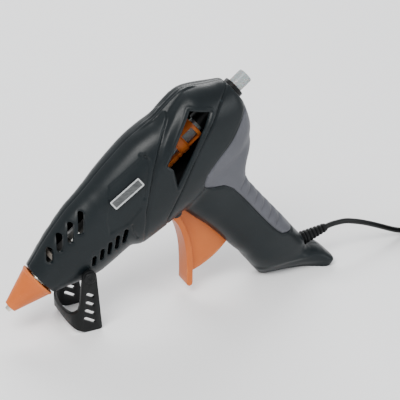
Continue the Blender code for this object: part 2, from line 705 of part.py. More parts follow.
def stand():
    """Stirrup: two slotted legs joined by a curved apron, drawn about its pivot."""
    inside = STAND_Y - STAND_T / 2
    outside = STAND_Y + STAND_T / 2

    def horseshoe(half, bow, nose):
        """Plan of one face of the strip: back to front, round the apron and back."""
        side = [(12.0, -half), (-7.0, -half)]
        front = []
        for i in range(1, 12):
            a = math.radians(-90 + 180 * i / 12)
            front.append((-7.0 - bow * math.cos(a) ** nose, half * math.sin(a)))
        return side + front + [(-7.0, half), (12.0, half)]

    outline = horseshoe(outside, 10.4, 0.7) + horseshoe(inside, 8.0, 0.7)[::-1]
    px, pz = STAND_PIVOT
    body = plate("stand", outline, 30.0, BLACK, at=(px, 0, pz), frame=None)
    body.data.transform(Matrix.Translation((0, 0, -25 * MM)) @ Matrix.Rotation(math.radians(-90), 4, "X"))
    foot = -pz
    leg = arc(0, 0, 5.4, 0, 180, 8) + [(-6.6, -8), (-7.6, -17), (-9.0, -24.0)]
    leg += [(-12.6, -28.0), (-18.2, -29.5), (-18.2, foot + 14), (-16.2, foot + 8)]
    leg += [(-12.8, foot + 4.4), (-8.4, foot + 1.8), (-2.5, foot)]
    leg += [(6.6, foot), (8.2, foot + 1.6)]
    side_view = plate("stand_side_view", leg, 40, cutter=True, at=(px, 0, pz), frame=None)
    boolean(body, side_view, "INTERSECT")
    for index, (drop, length) in enumerate(((14.6, 6.9), (21.6, 7.6), (28.4, 8.8), (35.0, 10.0))):
        slot = slot_outline(0.9 - 0.06 * drop, -drop, length, 2.6, -33)
        boolean(body, plate(f"stand_slot_{index}", slot, 40, cutter=True, at=(px, 0, pz), frame=None))
    boolean(body, rod("stand_eye", (0, -60, 0), (0, 60, 0), PIVOT_R + GAP, cutter=True, at=(px, 0, pz),
                      frame=None))
    for name, side in (("stand_pivot_left", -1), ("stand_pivot_right", 1)):
        rod(name, (stand_u, side * 14.2, stand_w), (stand_u, side * (outside + 0.5), stand_w), PIVOT_R, BLACK)


stand()


# ---------------------------------------------------------------- label plate

def badge():
    """Blank plate on the left side, tilted to the casing's skin."""
    u, w = 117.8, 13.7
    slope = (skin_y(u, w + 3) - skin_y(u, w - 3)) / 6
    taper = (skin_y(u + 10, w) - skin_y(u - 10, w)) / 20
    normal = Vector((-taper, -1.0, -slope)).normalized()
    along = Vector((1.0, -taper, 0.0)).normalized()
    up = normal.cross(along) * -1
    bm = bmesh.new()
    bmesh.ops.create_cube(bm, size=1.0)
    turn = Matrix((along, up, normal)).transposed().to_4x4()
    place = Vector((u, -skin_y(u, w), w)) + normal * (GAP + 0.5)
    size = Matrix.Diagonal((26.5 * MM, 7.0 * MM, 0.8 * MM, 1))
    bmesh.ops.transform(bm, matrix=Matrix.Translation(place * MM) @ turn @ size, verts=bm.verts)
    add("badge_plate", finish_mesh("badge_plate", bm, False), LABEL)


badge()


# ---------------------------------------------------------------- mains lead

relief_world = Vector((math.cos(EXIT_RISE), 0, math.sin(EXIT_RISE)))
exit_world = Vector((EXIT[0], 0, EXIT[1]))


def strain_relief():
    """Ribbed taper, turned about the lead's exit line. It starts inside the heel."""
    profile = [(0.0, RELIEF_LENGTH), (3.3, RELIEF_LENGTH)]
    ribs = 6
    pitch = (RELIEF_LENGTH - 3.0) / ribs
    for i in range(ribs):
        top = RELIEF_LENGTH - 1.5 - i * pitch
        r = 3.5 + 1.9 * (i + 0.5) / ribs
        profile += [(r, top), (r, top - pitch * 0.55)]
        profile += [(r - 0.9, top - pitch * 0.6), (r - 0.8, top - pitch * 0.95)]
    profile += [(5.6, 1.2), (5.6, 0.6), (4.2, 0.6), (4.2, -7.0), (0.0, -7.0)]
    spin = (0.0, math.radians(90) - EXIT_RISE, 0.0)
    turned("strain_relief", profile, BLACK, steps=14, closed=False, at=exit_world, frame=None, spin=spin)


def cord():
    start = exit_world + relief_world * (RELIEF_LENGTH + GAP)
    route = [start, start + relief_world * 5, (147.6, 0, 26.4), (156.6, 0, 24.2), (166.6, 0, 20.6),
             (176.6, 0, 16.2), (186.6, 0, 11.4), (196.0, 0.2, 6.9), (205.0, 1.0, 3.6), (213.0, 2.1, 2.4),
             (221.0, 2.8, 2.3)]
    tube("cord_lead", smooth_path(route, 3.0 * CORD_R * 2), CORD_R, BLACK, frame=None)
    low, high = COIL_RADII
    cx, cy = COIL_CENTRE
    turned("cord_coil", ((low, 0.2), (low, COIL_HEIGHT), (high, COIL_HEIGHT), (high, 0.2)), BLACK,
           steps=32, at=(cx, cy, 0), frame=None, spin=(0, 0, 0))
    tail = [(222.0, -2.0, 33.3), (232.0, -1.6, 33.3), (243.0, -0.4, 30.4), (254.0, 1.8, 22.4),
            (264.0, 4.0, 12.8), (273.0, 5.6, 8.0), (PLUG_X - GAP, PLUG_Y, 7.0)]
    tube("cord_tail", smooth_path(tail, 3.0 * CORD_R * 2), CORD_R, BLACK, frame=None)


def plug():
    """Flat two-pin plug lying on the table, pins away from the coil."""
    rings = []
    rows = ((0, 3.0, 3.0), (12, 4.6, 4.4), (16, 9.0, 6.2), (24, 12.4, 6.7), (34, 13.4, 6.9), (36, 13.0, 6.5))
    for x, half_width, half_height in rows:
        ring = []
        for i in range(20):
            a = 2 * math.pi * (i + 0.5) / 20
            y = half_width * signed_power(math.cos(a), 0.75)
            z = half_height * signed_power(math.sin(a), 0.75)
            ring.append((PLUG_X + x, PLUG_Y + y, 7.0 + z))
        rings.append(ring)
    lofted("plug_body", rings, mat=BLACK, frame=None)
    for name, side in (("plug_pin_left", -1), ("plug_pin_right", 1)):
        y = PLUG_Y + side * 9.0
        rod(name, (PLUG_X + 36 + GAP, y, 7), (PLUG_X + 55, y, 7), 2.0, BRASS, sides=16, frame=None)


def lead_inside():
    """Stub of the lead inside the heel."""
    inner = exit_point - relief_dir * (7.0 + GAP)
    tube("cord_inner", [inner, inner - relief_dir * 9], CORD_R, BLACK)


strain_relief()
cord()
plug()
lead_inside()
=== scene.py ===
"""The glue gun's looks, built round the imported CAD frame.

World frame in metres: +Z up, nose towards -X, left side towards -Y. Most pieces are drawn
in the gun frame (u, y, w), in millimetres: u runs back along the stick's axis from the
nozzle's mouth, w is square to it and y is the world's Y.
"""

from math import ceil, copysign, cos, pi, radians, sin

import bmesh
import bpy
import numpy as np
from mathutils import Matrix, Vector


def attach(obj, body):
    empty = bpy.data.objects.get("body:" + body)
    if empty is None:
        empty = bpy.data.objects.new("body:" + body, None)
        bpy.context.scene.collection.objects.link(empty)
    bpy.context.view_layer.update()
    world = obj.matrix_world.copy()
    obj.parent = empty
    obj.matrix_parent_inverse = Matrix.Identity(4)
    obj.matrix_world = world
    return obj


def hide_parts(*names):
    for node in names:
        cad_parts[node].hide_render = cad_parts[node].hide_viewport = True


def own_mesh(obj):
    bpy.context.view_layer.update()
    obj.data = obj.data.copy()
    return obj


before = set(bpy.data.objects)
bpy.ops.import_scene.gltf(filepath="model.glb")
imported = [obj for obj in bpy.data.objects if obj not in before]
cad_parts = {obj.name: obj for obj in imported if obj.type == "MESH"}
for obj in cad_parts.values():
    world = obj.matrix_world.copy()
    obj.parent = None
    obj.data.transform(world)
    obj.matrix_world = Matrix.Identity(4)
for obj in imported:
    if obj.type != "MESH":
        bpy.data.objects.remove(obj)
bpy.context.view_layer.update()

MM = 0.001
PITCH = radians(37.6)  # of the stick's axis, nose down
NOZZLE = (-129.8, 22.5)  # world x and z of the nozzle's mouth, millimetres
GAP = 0.3  # between neighbouring mouldings
SPLIT = 0.15  # half the gap between the left and right halves
REACH = 60  # y beyond either side of the gun


def shift(x, y, z):
    """Translation by millimetres."""
    return Matrix.Translation((x * MM, y * MM, z * MM))


GUN = shift(NOZZLE[0], 0, NOZZLE[1]) @ Matrix.Rotation(-PITCH, 4, "Y")

STAND_PIVOT = (-75.1, 44.5)  # world x, z
TRIGGER_PIVOT = (133.0, -34.0)  # u, w
EXIT = (110.2, 20.4)  # of the cord, world x, z
EXIT_RISE = radians(12.8)
RELIEF_LENGTH = 21.5
RELIEF_RIBS = 6
CORD_R = 2.2
COIL_CENTRE = (221.0, -25.9)
COIL_RADIUS = 23.5
PLUG_X = 284.0
PLUG_Y = 6.0
PLUG_Z = 7.0
PLUG_LENGTH = 36
PIN_OFFSET = 9.0
TRIGGER_BORE = 2.3
PIVOT_BORE = 3.2
JAW_BORE = 1.3


# ---- camera, light and floor

def put(name, data):
    """A new object in the scene."""
    obj = bpy.data.objects.new(name, data)
    bpy.context.scene.collection.objects.link(obj)
    return obj


def look_from(name, place, target, data):
    obj = put(name, data)
    obj.location = place
    obj.rotation_mode = "QUATERNION"
    obj.rotation_quaternion = (Vector(target) - Vector(place)).to_track_quat("-Z", "Y")
    return obj


camera_data = bpy.data.cameras.new("camera")
camera_data.lens = 128.57
camera_data.sensor_width = 36.0
camera_data.clip_start = 0.05
camera_data.clip_end = 20.0
CAMERA_PLACE = Vector((-0.3851, -0.8347, 0.5682))
CAMERA_BACK = Vector((-0.38706, -0.79359, 0.46947))
camera = look_from("camera", CAMERA_PLACE, CAMERA_PLACE - CAMERA_BACK, camera_data)
bpy.context.scene.camera = camera


def area_light(name, place, target, size, power, colour=(1, 1, 1)):
    data = bpy.data.lights.new(name, "AREA")
    data.shape = "RECTANGLE"
    data.size, data.size_y = size
    data.energy = power
    data.color = colour
    look_from(name, place, target, data)


area_light("key", (-0.9, -0.7, 1.5), (0, 0, 0.08), (0.9, 0.9), 34, (1.0, 0.99, 0.97))
area_light("fill", (1.3, -1.2, 0.8), (0, 0, 0.08), (1.0, 0.8), 9, (0.95, 0.98, 1.0))
area_light("rim", (0.5, 1.4, 1.2), (0, 0, 0.10), (1.4, 0.6), 24)

world = bpy.data.worlds.new("studio")
bpy.context.scene.world = world
world.use_nodes = True
background = world.node_tree.nodes["Background"]
background.inputs["Color"].default_value = (0.97, 0.98, 1.0, 1)
background.inputs["Strength"].default_value = 0.80


# ---- materials

class Shader:
    """A Principled material and short calls that add nodes to it."""

    def __init__(self, name, roughness, metallic=0.0, **fixed):
        self.mat = bpy.data.materials.new(name)
        self.mat.use_nodes = True
        self.tree = self.mat.node_tree
        self.out = self.tree.nodes["Principled BSDF"]
        self.out.inputs["Roughness"].default_value = roughness
        self.out.inputs["Metallic"].default_value = metallic
        for socket, value in fixed.items():
            self.out.inputs[socket.replace("_", " ")].default_value = value
        coords = self.tree.nodes.new("ShaderNodeTexCoord")
        self.place = coords.outputs["Object"]

    def node(self, kind, values=(), **settings):
        made = self.tree.nodes.new(kind)
        for key, value in settings.items():
            setattr(made, key, value)
        for socket, value in dict(values).items():
            if isinstance(value, bpy.types.NodeSocket):
                self.tree.links.new(value, made.inputs[socket])
            else:
                made.inputs[socket].default_value = value
        return made

    def noise(self, scale, detail=3.0, roughness=0.5, place=None):
        values = {"Vector": place or self.place, "Scale": scale, "Detail": detail, "Roughness": roughness}
        return self.node("ShaderNodeTexNoise", values).outputs["Fac"]

    def ramp(self, factor, low, high, start=0.0, end=1.0):
        values = {"Value": factor, "From Min": low, "From Max": high, "To Min": start, "To Max": end}
        return self.node("ShaderNodeMapRange", values).outputs["Result"]

    def maths(self, operation, a, b=0.5):
        return self.node("ShaderNodeMath", {0: a, 1: b}, operation=operation).outputs["Value"]

    def mix(self, factor, a, b):
        made = self.node("ShaderNodeMix", {"Factor": factor}, data_type="RGBA")
        for socket, value in zip((made.inputs[6], made.inputs[7]), (a, b)):
            if isinstance(value, bpy.types.NodeSocket):
                self.tree.links.new(value, socket)
            else:
                socket.default_value = (*value, 1.0)
        return made.outputs[2]

    def stretched(self, scale):
        """Object coordinates scaled along each axis."""
        return self.node("ShaderNodeMapping", {"Vector": self.place, "Scale": scale}).outputs["Vector"]

    def set(self, socket, source):
        self.tree.links.new(source, self.out.inputs[socket])

    def bump(self, height, strength, distance):
        values = {"Height": height, "Strength": strength, "Distance": distance}
        self.set("Normal", self.node("ShaderNodeBump", values).outputs["Normal"])

    def edges(self, low=0.52, high=0.62):
        """0 on flat skin, rising to 1 on sharp outer edges."""
        geometry = self.tree.nodes.new("ShaderNodeNewGeometry")
        return self.ramp(geometry.outputs["Pointiness"], low, high)


def moulded(name, dark, light, edge, roughness, grain=900.0, bump=0.16, **fixed):
    """Moulded plastic or rubber: cloudy colour, fine spark-eroded grain, paler worn edges."""
    s = Shader(name, roughness, **fixed)
    cloud = s.noise(28.0, 4.0)
    fine = s.noise(grain, 2.0, 0.6)
    colour = s.mix(s.ramp(cloud, 0.35, 0.65), dark, light)
    speck = s.ramp(fine, 0.62, 0.75, 0.0, 0.35)
    colour = s.mix(speck, colour, edge)
    worn = s.maths("MULTIPLY", s.edges(), s.ramp(s.noise(160.0, 3.0), 0.4, 0.6, 0.25, 0.8))
    s.set("Base Color", s.mix(worn, colour, edge))
    rough = s.maths("ADD", s.ramp(cloud, 0.3, 0.7, -0.05, 0.05), roughness)
    s.set("Roughness", s.maths("ADD", rough, s.ramp(fine, 0.3, 0.7, -0.04, 0.04)))
    s.bump(fine, bump, 0.0002)
    return s.mat


def turned_metal(name, dark, light, roughness, axis_scale=(60.0, 60.0, 1500.0)):
    """Metal with fine tool marks and a few stains."""
    s = Shader(name, roughness, 1.0)
    lines = s.noise(1.0, 4.0, 0.7, s.stretched(axis_scale))
    stain = s.noise(90.0, 4.0, 0.6)
    s.set("Base Color", s.mix(s.ramp(stain, 0.4, 0.68), light, dark))
    s.set("Roughness", s.ramp(lines, 0.3, 0.7, roughness - 0.08, roughness + 0.12))
    s.bump(lines, 0.15, 0.0001)
    return s.mat


CASING = moulded("casing_plastic", (0.0040, 0.0066, 0.0080), (0.0058, 0.0092, 0.0110),
                 (0.016, 0.023, 0.027), 0.36, Specular_IOR_Level=0.23)
GRIP = moulded("grip_rubber", (0.066, 0.068, 0.080), (0.082, 0.084, 0.098), (0.13, 0.133, 0.15), 0.52,
               grain=1200.0, bump=0.25, Specular_IOR_Level=0.35)
ORANGE = moulded("orange_plastic", (0.46, 0.100, 0.014), (0.53, 0.125, 0.019), (0.62, 0.21, 0.05), 0.40,
                 grain=1100.0, bump=0.1, Specular_IOR_Level=0.3)
SILICONE = moulded("orange_silicone", (0.48, 0.103, 0.014), (0.55, 0.128, 0.019), (0.62, 0.21, 0.05), 0.46,
                   grain=800.0, bump=0.14, Specular_IOR_Level=0.3)
BLACK = moulded("black_plastic", (0.0026, 0.0030, 0.0033), (0.0042, 0.0048, 0.0052),
                (0.010, 0.011, 0.012), 0.38, grain=1000.0, Specular_IOR_Level=0.18)
CORD = moulded("cord_rubber", (0.0036, 0.0041, 0.0044), (0.0056, 0.0062, 0.0066),
               (0.012, 0.012, 0.012), 0.45, grain=700.0, bump=0.2, Specular_IOR_Level=0.25)
HEATPROOF = moulded("red_sleeve", (0.36, 0.045, 0.03), (0.46, 0.065, 0.045), (0.6, 0.2, 0.15), 0.6)
CERAMIC = moulded("ceramic", (0.055, 0.046, 0.038), (0.080, 0.068, 0.056), (0.14, 0.12, 0.10), 0.62,
                  grain=1600.0)
STEEL = turned_metal("zinc_steel", (0.38, 0.38, 0.36), (0.62, 0.62, 0.61), 0.32)
BRASS = turned_metal("nickelled_brass", (0.50, 0.44, 0.34), (0.72, 0.69, 0.62), 0.30)
# Melt chamber alloy, its grey painted far darker than bare alloy: painted shade for the dark inside of the
# housing seen through the vents and the nozzle gap.
SHADE_DARKENED_ALLOY = turned_metal("cast_alloy_painted_shade", (0.050, 0.050, 0.048), (0.085, 0.085, 0.082), 0.60, (400.0, 400.0, 400.0))


def glue_material():
    """Cloudy translucent glue with faint lengthways drawing lines and tiny bubbles."""
    s = Shader("glue", 0.22, Transmission_Weight=0.35, IOR=1.48, Subsurface_Weight=0.3,
               Subsurface_Scale=0.004)
    lines = s.noise(1.0, 3.0, 0.5, s.stretched((12.0, 420.0, 420.0)))
    cloud = s.noise(120.0, 5.0, 0.6)
    colour = s.mix(s.ramp(cloud, 0.35, 0.7), (0.30, 0.33, 0.335), (0.40, 0.43, 0.435))
    s.set("Base Color", s.mix(s.ramp(lines, 0.55, 0.75, 0.0, 0.5), colour, (0.55, 0.58, 0.58)))
    s.set("Roughness", s.ramp(cloud, 0.3, 0.7, 0.16, 0.30))
    s.bump(s.maths("ADD", lines, s.noise(500.0, 2.0)), 0.12, 0.0003)
    return s.mat


def floor_material():
    s = Shader("floor", 0.7)
    s.set("Base Color", s.mix(s.noise(3.0, 3.0), (0.93, 0.935, 0.94), (0.955, 0.96, 0.965)))
    s.bump(s.noise(400.0, 2.0), 0.03, 0.0005)
    return s.mat


def label_material(name, dark, light):
    """Brushed plate with fine lines along it."""
    s = Shader(name, 0.38, Metallic=0.3)
    lines = s.noise(1.0, 3.0, 0.6, s.stretched((40.0, 900.0, 900.0)))
    s.set("Base Color", s.mix(s.ramp(lines, 0.35, 0.65), dark, light))
    s.bump(lines, 0.1, 0.0001)
    return s.mat


GLUE = glue_material()
LABEL = label_material("label_frame", (0.40, 0.42, 0.42), (0.56, 0.58, 0.58))
FIELD = label_material("label_print", (0.050, 0.054, 0.056), (0.095, 0.10, 0.10))

FLOOR = 3.0  # half its side, metres
floor_mesh = bpy.data.meshes.new("floor")
floor_mesh.from_pydata([(-FLOOR, -FLOOR, 0), (FLOOR, -FLOOR, 0), (FLOOR, FLOOR, 0), (-FLOOR, FLOOR, 0)],
                       [], [(0, 1, 2, 3)])
floor_mesh.materials.append(floor_material())
floor = put("floor", floor_mesh)
floor.location.z = -0.0002


# ---- mesh helpers

def piece(name, mesh, mat, stands_for=(), body="housing", place=GUN):
    """Put a finished mesh in the scene as a visible piece on a CAD body."""
    mesh.materials.append(mat)
    if place is not None:
        mesh.transform(place)
    obj = put(name, mesh)
    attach(obj, body)
    if stands_for:
        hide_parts(*stands_for)
    return obj


def shade(mesh, degrees=32):
    mesh.shade_smooth()
    mesh.set_sharp_from_angle(angle=radians(degrees))
    return mesh


def mesh_from(bm, name, degrees=32):
    bmesh.ops.recalc_face_normals(bm, faces=bm.faces)
    mesh = bpy.data.meshes.new(name)
    bm.to_mesh(mesh)
    bm.free()
    return shade(mesh, degrees)


def opened(mesh):
    """The mesh as a bmesh, with the mesh itself removed."""
    bm = bmesh.new()
    bm.from_mesh(mesh)
    bpy.data.meshes.remove(mesh)
    return bm


def evaluated(obj):
    """The mesh an object comes to with its modifiers, with the object itself removed."""
    bpy.context.view_layer.update()
    shown = obj.evaluated_get(bpy.context.evaluated_depsgraph_get())
    mesh = bpy.data.meshes.new_from_object(shown)
    bpy.data.objects.remove(obj, do_unlink=True)
    return mesh


def skin(name, rings, close=False):
    """Closed body through rings of points (millimetres). close joins the last ring to the first."""
    rings = np.asarray(rings, float) * MM
    count, sides = rings.shape[:2]
    verts = rings.reshape(-1, 3)
    index = np.arange(count * sides).reshape(count, sides)
    faces = []
    for i in range(count if close else count - 1):
        a = index[i]
        b = index[(i + 1) % count]
        faces += np.stack([a, np.roll(a, -1), np.roll(b, -1), b], 1).tolist()
    if not close:
        faces.append(index[0].tolist()[::-1])
        faces.append(index[-1].tolist())
    mesh = bpy.data.meshes.new(name)
    mesh.from_pydata(verts.tolist(), [], faces)
    return mesh_from(opened(mesh), name)


def revolved(name, profile, sides=64, axis="u"):
    """Ring of a closed (radius, u) profile turned about the stick's axis; axis 'y' turns about y."""
    rings = []
    for i in range(sides):
        a = 2 * pi * i / sides
        c, s = cos(a), sin(a)
        if axis == "u":
            rings.append([(u, r * c, r * s) for r, u in profile])
        else:
            rings.append([(r * c, u, r * s) for r, u in profile])
    mesh = skin(name, rings, close=True)
    if min(r for r, _ in profile) < 1e-6:
        bm = opened(mesh)
        bmesh.ops.remove_doubles(bm, verts=bm.verts, dist=1e-7)
        bmesh.ops.dissolve_degenerate(bm, edges=bm.edges, dist=1e-8)
        mesh = mesh_from(bm, name)
    return mesh


def slab(name, outline, low, high, holes=()):
    """A (u, w) outline with holes, made solid between y = low and y = high."""
    curve = bpy.data.curves.new(name, "CURVE")
    curve.dimensions = "2D"
    curve.fill_mode = "BOTH"
    curve.extrude = (high - low) / 2 * MM
    for loop in (outline, *holes):
        spline = curve.splines.new("POLY")
        spline.points.add(len(loop) - 1)
        for point, (a, b) in zip(spline.points, loop):
            point.co = (a * MM, b * MM, 0.0, 1.0)
        spline.use_cyclic_u = True
    bm = opened(evaluated(put(name, curve)))
    bpy.data.curves.remove(curve)
    bmesh.ops.remove_doubles(bm, verts=bm.verts, dist=1e-6)
    upright = shift(0, (low + high) / 2, 0) @ Matrix.Rotation(radians(90), 4, "X")
    bmesh.ops.transform(bm, matrix=upright, verts=bm.verts)
    return mesh_from(bm, name)


def cylinder(name, centre, low, high, radius, sides=32):
    """Cylinder along y about (u, w)."""
    u, w = centre
    ring = [(u + radius * cos(2 * pi * i / sides), w + radius * sin(2 * pi * i / sides))
            for i in range(sides)]
    return slab(name, ring, low, high)


def combined(name, meshes):
    """Several meshes in one, for use as a single cutter."""
    bm = bmesh.new()
    for mesh in meshes:
        bm.from_mesh(mesh)
    made = bpy.data.meshes.new(name)
    bm.to_mesh(made)
    bm.free()
    return made


def boolean(mesh, cutter, operation="DIFFERENCE"):
    """The mesh after a Boolean with another."""
    a = put(mesh.name + "_work", mesh)
    b = put(cutter.name + "_cut", cutter)
    mod = a.modifiers.new("cut", "BOOLEAN")
    mod.operation = operation
    mod.object = b
    mod.solver = "EXACT"
    made = evaluated(a)
    bpy.data.objects.remove(b, do_unlink=True)
    return made


def cut(mesh, *cutters):
    """The mesh with each cutter taken away in turn."""
    for cutter in cutters:
        mesh = boolean(mesh, cutter)
    return mesh


def rounded(mesh, width, segments=2, degrees=40):
    """The mesh with its sharp edges bevelled."""
    obj = put("rounding", mesh)
    bevel = obj.modifiers.new("round", "BEVEL")
    bevel.width = width * MM
    bevel.segments = segments
    bevel.limit_method = "ANGLE"
    bevel.angle_limit = radians(degrees)
    bevel.use_clamp_overlap = True
    bevel.harden_normals = False
    return shade(evaluated(obj))


def arc(cu, cw, radius, start, end, pieces):
    angles = [radians(start + (end - start) * i / pieces) for i in range(pieces + 1)]
    return [(cu + radius * cos(a), cw + radius * sin(a)) for a in angles]


def slot_outline(cu, cw, length, width, degrees, pieces=8):
    r = width / 2
    half = length / 2 - r
    along = Vector((cos(radians(degrees)), sin(radians(degrees))))
    head = Vector((cu, cw)) + along * half
    tail = Vector((cu, cw)) - along * half
    return (arc(*head, r, degrees - 90, degrees + 90, pieces)
            + arc(*tail, r, degrees + 90, degrees + 270, pieces))


def smooth_path(points, spacing, closed=False):
    """Catmull-Rom points, about every spacing, through the given ones."""
    knots = [Vector(p) for p in points]
    if closed:
        knots = [knots[-1], *knots, knots[0], knots[1]]
    else:
        knots = [2 * knots[0] - knots[1], *knots, 2 * knots[-1] - knots[-2]]
    path = []
    for i in range(1, len(knots) - 2):
        p0, p1, p2, p3 = knots[i - 1:i + 3]
        pieces = max(1, round((p2 - p1).length / spacing))
        for k in range(pieces):
            t = k / pieces
            path.append(0.5 * (2 * p1 + (p2 - p0) * t + (2 * p0 - 5 * p1 + 4 * p2 - p3) * t * t
                               + (3 * p1 - p0 - 3 * p2 + p3) * t ** 3))
    if not closed:
        path.append(knots[-2])
    return path


def smooth_outline(points, spacing):
    """smooth_path through (u, w) points."""
    return [(u, w) for u, w, _ in smooth_path([(*p, 0) for p in points], spacing)]


def eased_rows(table, step):
    """Rows of numbers spline-interpolated over their first column, about every step."""
    table = np.asarray(table, float)
    x = table[:, 0]
    slopes = np.gradient(table, x, axis=0)
    chords = np.diff(table, axis=0) / np.diff(x)[:, None]
    for column in range(1, table.shape[1]):
        for i in range(1, len(x) - 1):
            a, b = chords[i - 1:i + 1, column]
            slopes[i, column] = 0.0 if a * b <= 0 else 2 * a * b / (a + b)
    rows = []
    for i in range(len(x) - 1):
        h = x[i + 1] - x[i]
        pieces = max(1, ceil(h / step))
        for k in range(pieces):
            t = k / pieces
            rows.append((2 * t ** 3 - 3 * t ** 2 + 1) * table[i] + (t ** 3 - 2 * t ** 2 + t) * h * slopes[i]
                        + (3 * t ** 2 - 2 * t ** 3) * table[i + 1] + (t ** 3 - t ** 2) * h * slopes[i + 1])
    rows.append(table[-1])
    made = np.array(rows)
    made[:, 0] = np.clip(made[:, 0], x[0], x[-1])
    return made


def signed_power(value, power):
    return np.sign(value) * np.abs(value) ** power


def step_up(value, low, high):
    """Smooth 0 to 1 as value goes from low to high."""
    t = np.clip((value - low) / (high - low), 0.0, 1.0)
    return t * t * (3 - 2 * t)


def distance_to(points, line):
    """Distance of each (u, w) from an open run of segments, and its signed side."""
    points = np.asarray(points, float)
    line = np.asarray(line, float)
    best = np.full(len(points), 1e9)
    side = np.zeros(len(points))
    for a, b in zip(line, line[1:]):
        d = b - a
        t = np.clip(((points - a) @ d) / (d @ d), 0, 1)
        near = a + t[:, None] * d
        gap = np.linalg.norm(points - near, axis=1)
        cross = d[0] * (points[:, 1] - a[1]) - d[1] * (points[:, 0] - a[0])
        closer = gap < best
        best = np.where(closer, gap, best)
        side = np.where(closer, np.sign(cross), side)
    return best, side


def inside(points, polygon):
    """Signed distance from a polygon's edge, positive inside."""
    points = np.asarray(points, float)
    polygon = np.asarray(polygon, float)
    loop = np.vstack([polygon, polygon[:1]])
    gap, _ = distance_to(points, loop)
    within = np.zeros(len(points), bool)
    x, y = points[:, 0], points[:, 1]
    for (ax, ay), (bx, by) in zip(loop, loop[1:]):
        crosses = (ay > y) != (by > y)
        with np.errstate(divide="ignore", invalid="ignore"):
            at = ax + (y - ay) * (bx - ax) / (by - ay)
        within ^= crosses & (x < at)
    return np.where(within, gap, -gap)


# ---- outer form of the body

# (u, top w, bottom w, half width, roundness) of the barrel
BARREL = (
    (31, 13.9, -14.6, 14.2, 2.0), (40, 16.6, -18.6, 15.6, 2.1), (49, 19.6, -23.0, 16.8, 2.2),
    (58, 22.0, -27.0, 17.6, 2.3), (66, 23.9, -29.6, 18.1, 2.35), (80, 26.6, -30.6, 18.9, 2.4),
    (93, 27.6, -31.4, 19.6, 2.4), (97, 28.1, -34.5, 20.6, 2.4), (101, 28.5, -37.3, 21.4, 2.4),
    (112, 30.0, -38.6, 22.6, 2.5), (124, 31.3, -40.0, 23.6, 2.5), (144, 32.6, -42.0, 24.5, 2.5),
    (160, 31.0, -43.5, 25.0, 2.5), (168, 29.6, -44.0, 25.0, 2.5), (178, 30.2, -43.8, 25.0, 2.5),
    (188, 30.6, -43.0, 24.8, 2.5), (195, 30.2, -42.0, 24.2, 2.4), (201, 27.8, -41.0, 23.0, 2.3),
    (207, 24.0, -38.5, 21.2, 2.2), (212, 20.0, -35.0, 19.4, 2.2), (216, 17.0, -30.5, 17.6, 2.1),
    (220, 14.2, -22.0, 15.0, 2.0), (223, 11.6, -13.0, 11.8, 2.0),
)
# (front u, front w, back u, back w, front half width, back half width) of the handle
HANDLE = (
    (143, -22, 207, -22, 15.0, 15.0), (139, -36, 212, -36, 19.0, 18.0),
    (137.5, -43, 207, -43, 18.5, 17.5), (139, -50, 198, -50, 18.0, 17.0),
    (140.5, -58, 191, -58, 17.5, 16.5), (142.5, -68, 188.3, -68, 17.0, 16.5),
    (144.3, -84, 188.5, -84, 17.0, 16.5), (145.2, -100, 189, -100, 17.5, 17.0),
    (146.5, -112, 189.5, -116, 18.0, 17.5),
)
# (front x, front z, back x, back z, front half width, back half width, flare), world
HEEL = (
    (58.6, 17.5, 99.9, 35.0, 17.5, 17.5, 1), (62.1, 13.0, 107.6, 25.5, 16.5, 17.0, 1),
    (64.6, 9.5, 111.1, 16.5, 14.5, 16.5, 1), (66.6, 6.8, 124.6, 12.0, 12.5, 22.0, 4),
    (69.1, 3.6, 132.1, 5.5, 9.5, 28.0, 4), (72.1, 0.0, 128.6, 0.0, 5.0, 27.0, 4),
)
SEAM = (
    (250, 10.9), (221, 10.6), (214, 10.6), (207, 9.9), (201.7, 8.4), (188, 3.8), (175.6, -1.4),
    (162, -8.0), (148.8, -15.2), (140, -19.8), (134, -23.2), (127, -27.4), (124, -31.2),
    (122.4, -38), (122.2, -70),
)
GRIP_EDGE = (
    (228, -10.4), (217.9, -10.8), (210.5, -13.2), (196.5, -17.0), (180.7, -19.4), (168.4, -22.6),
    (161.6, -27.6), (160.4, -33.0), (164.2, -38.6), (171.4, -45.0), (174.6, -54.0), (175.9, -70.0),
    (176.3, -90.0), (177.0, -106.0), (179.3, -117.6), (186, -124.6), (196, -127.5),
)
WINDOW = ((189, 23.2), (199.2, 12.6), (146.5, -11.4), (152.4, 1.6), (151.2, 7.4))
# (u, w, length) of each vent, then (width, lean in degrees) of each row
UPPER_VENTS = ((48.6, 14.7, 10.6), (60.0, 17.0, 12.6), (70.3, 17.5, 14.6), (80.3, 18.0, 15.9))
LOWER_VENTS = ((67.4, -11.0, 8.7), (74.7, -11.6, 9.8), (81.6, -12.2, 10.8), (88.5, -12.8, 11.8),
               (95.5, -13.2, 12.8))
UPPER_SLOT = (4.2, 42)
LOWER_SLOT = (3.3, 47)
FRONT_SCREWS = ((108, 19.5), (107, -26), (199, 17.5))
HANDLE_SCREWS = ((153, -37), (160, -116), (159, -133))
WALL = 2.5
GRIP_T = 2.4
DEEP_WALL = 4.6  # rear casing, with the depth of the grip's pocket
WELL_DEPTH = 3.2  # screw wells, below the skin
WELL_RADIUS = 3.4
BAND_FRONT = ((182, 33), (173.8, 28.6), (163.3, 24.9), (154.1, 20.9), (142.2, 13.3), (131.5, 4.5),
              (118.5, -7.5), (107.5, -20.9), (101.6, -30.3), (96.5, -38.0))
BAND_REAR = ((202, 33), (194.3, 29.8), (182.4, 27.8), (170.1, 23.5), (159.0, 18.7), (148.4, 12.2),
             (137.7, 4.7), (126.3, -4.4), (115.4, -15.1), (105.8, -27.2), (99.5, -37.0))
LABEL_FIELD = ((147, 25.0), (144.8, 20.0), (136.1, 13.1), (128.7, 6.2), (118.5, -3.6), (104, -6.5),
               (88, -3.0), (94, 8.0), (105.6, 19.4), (112, 25.0))
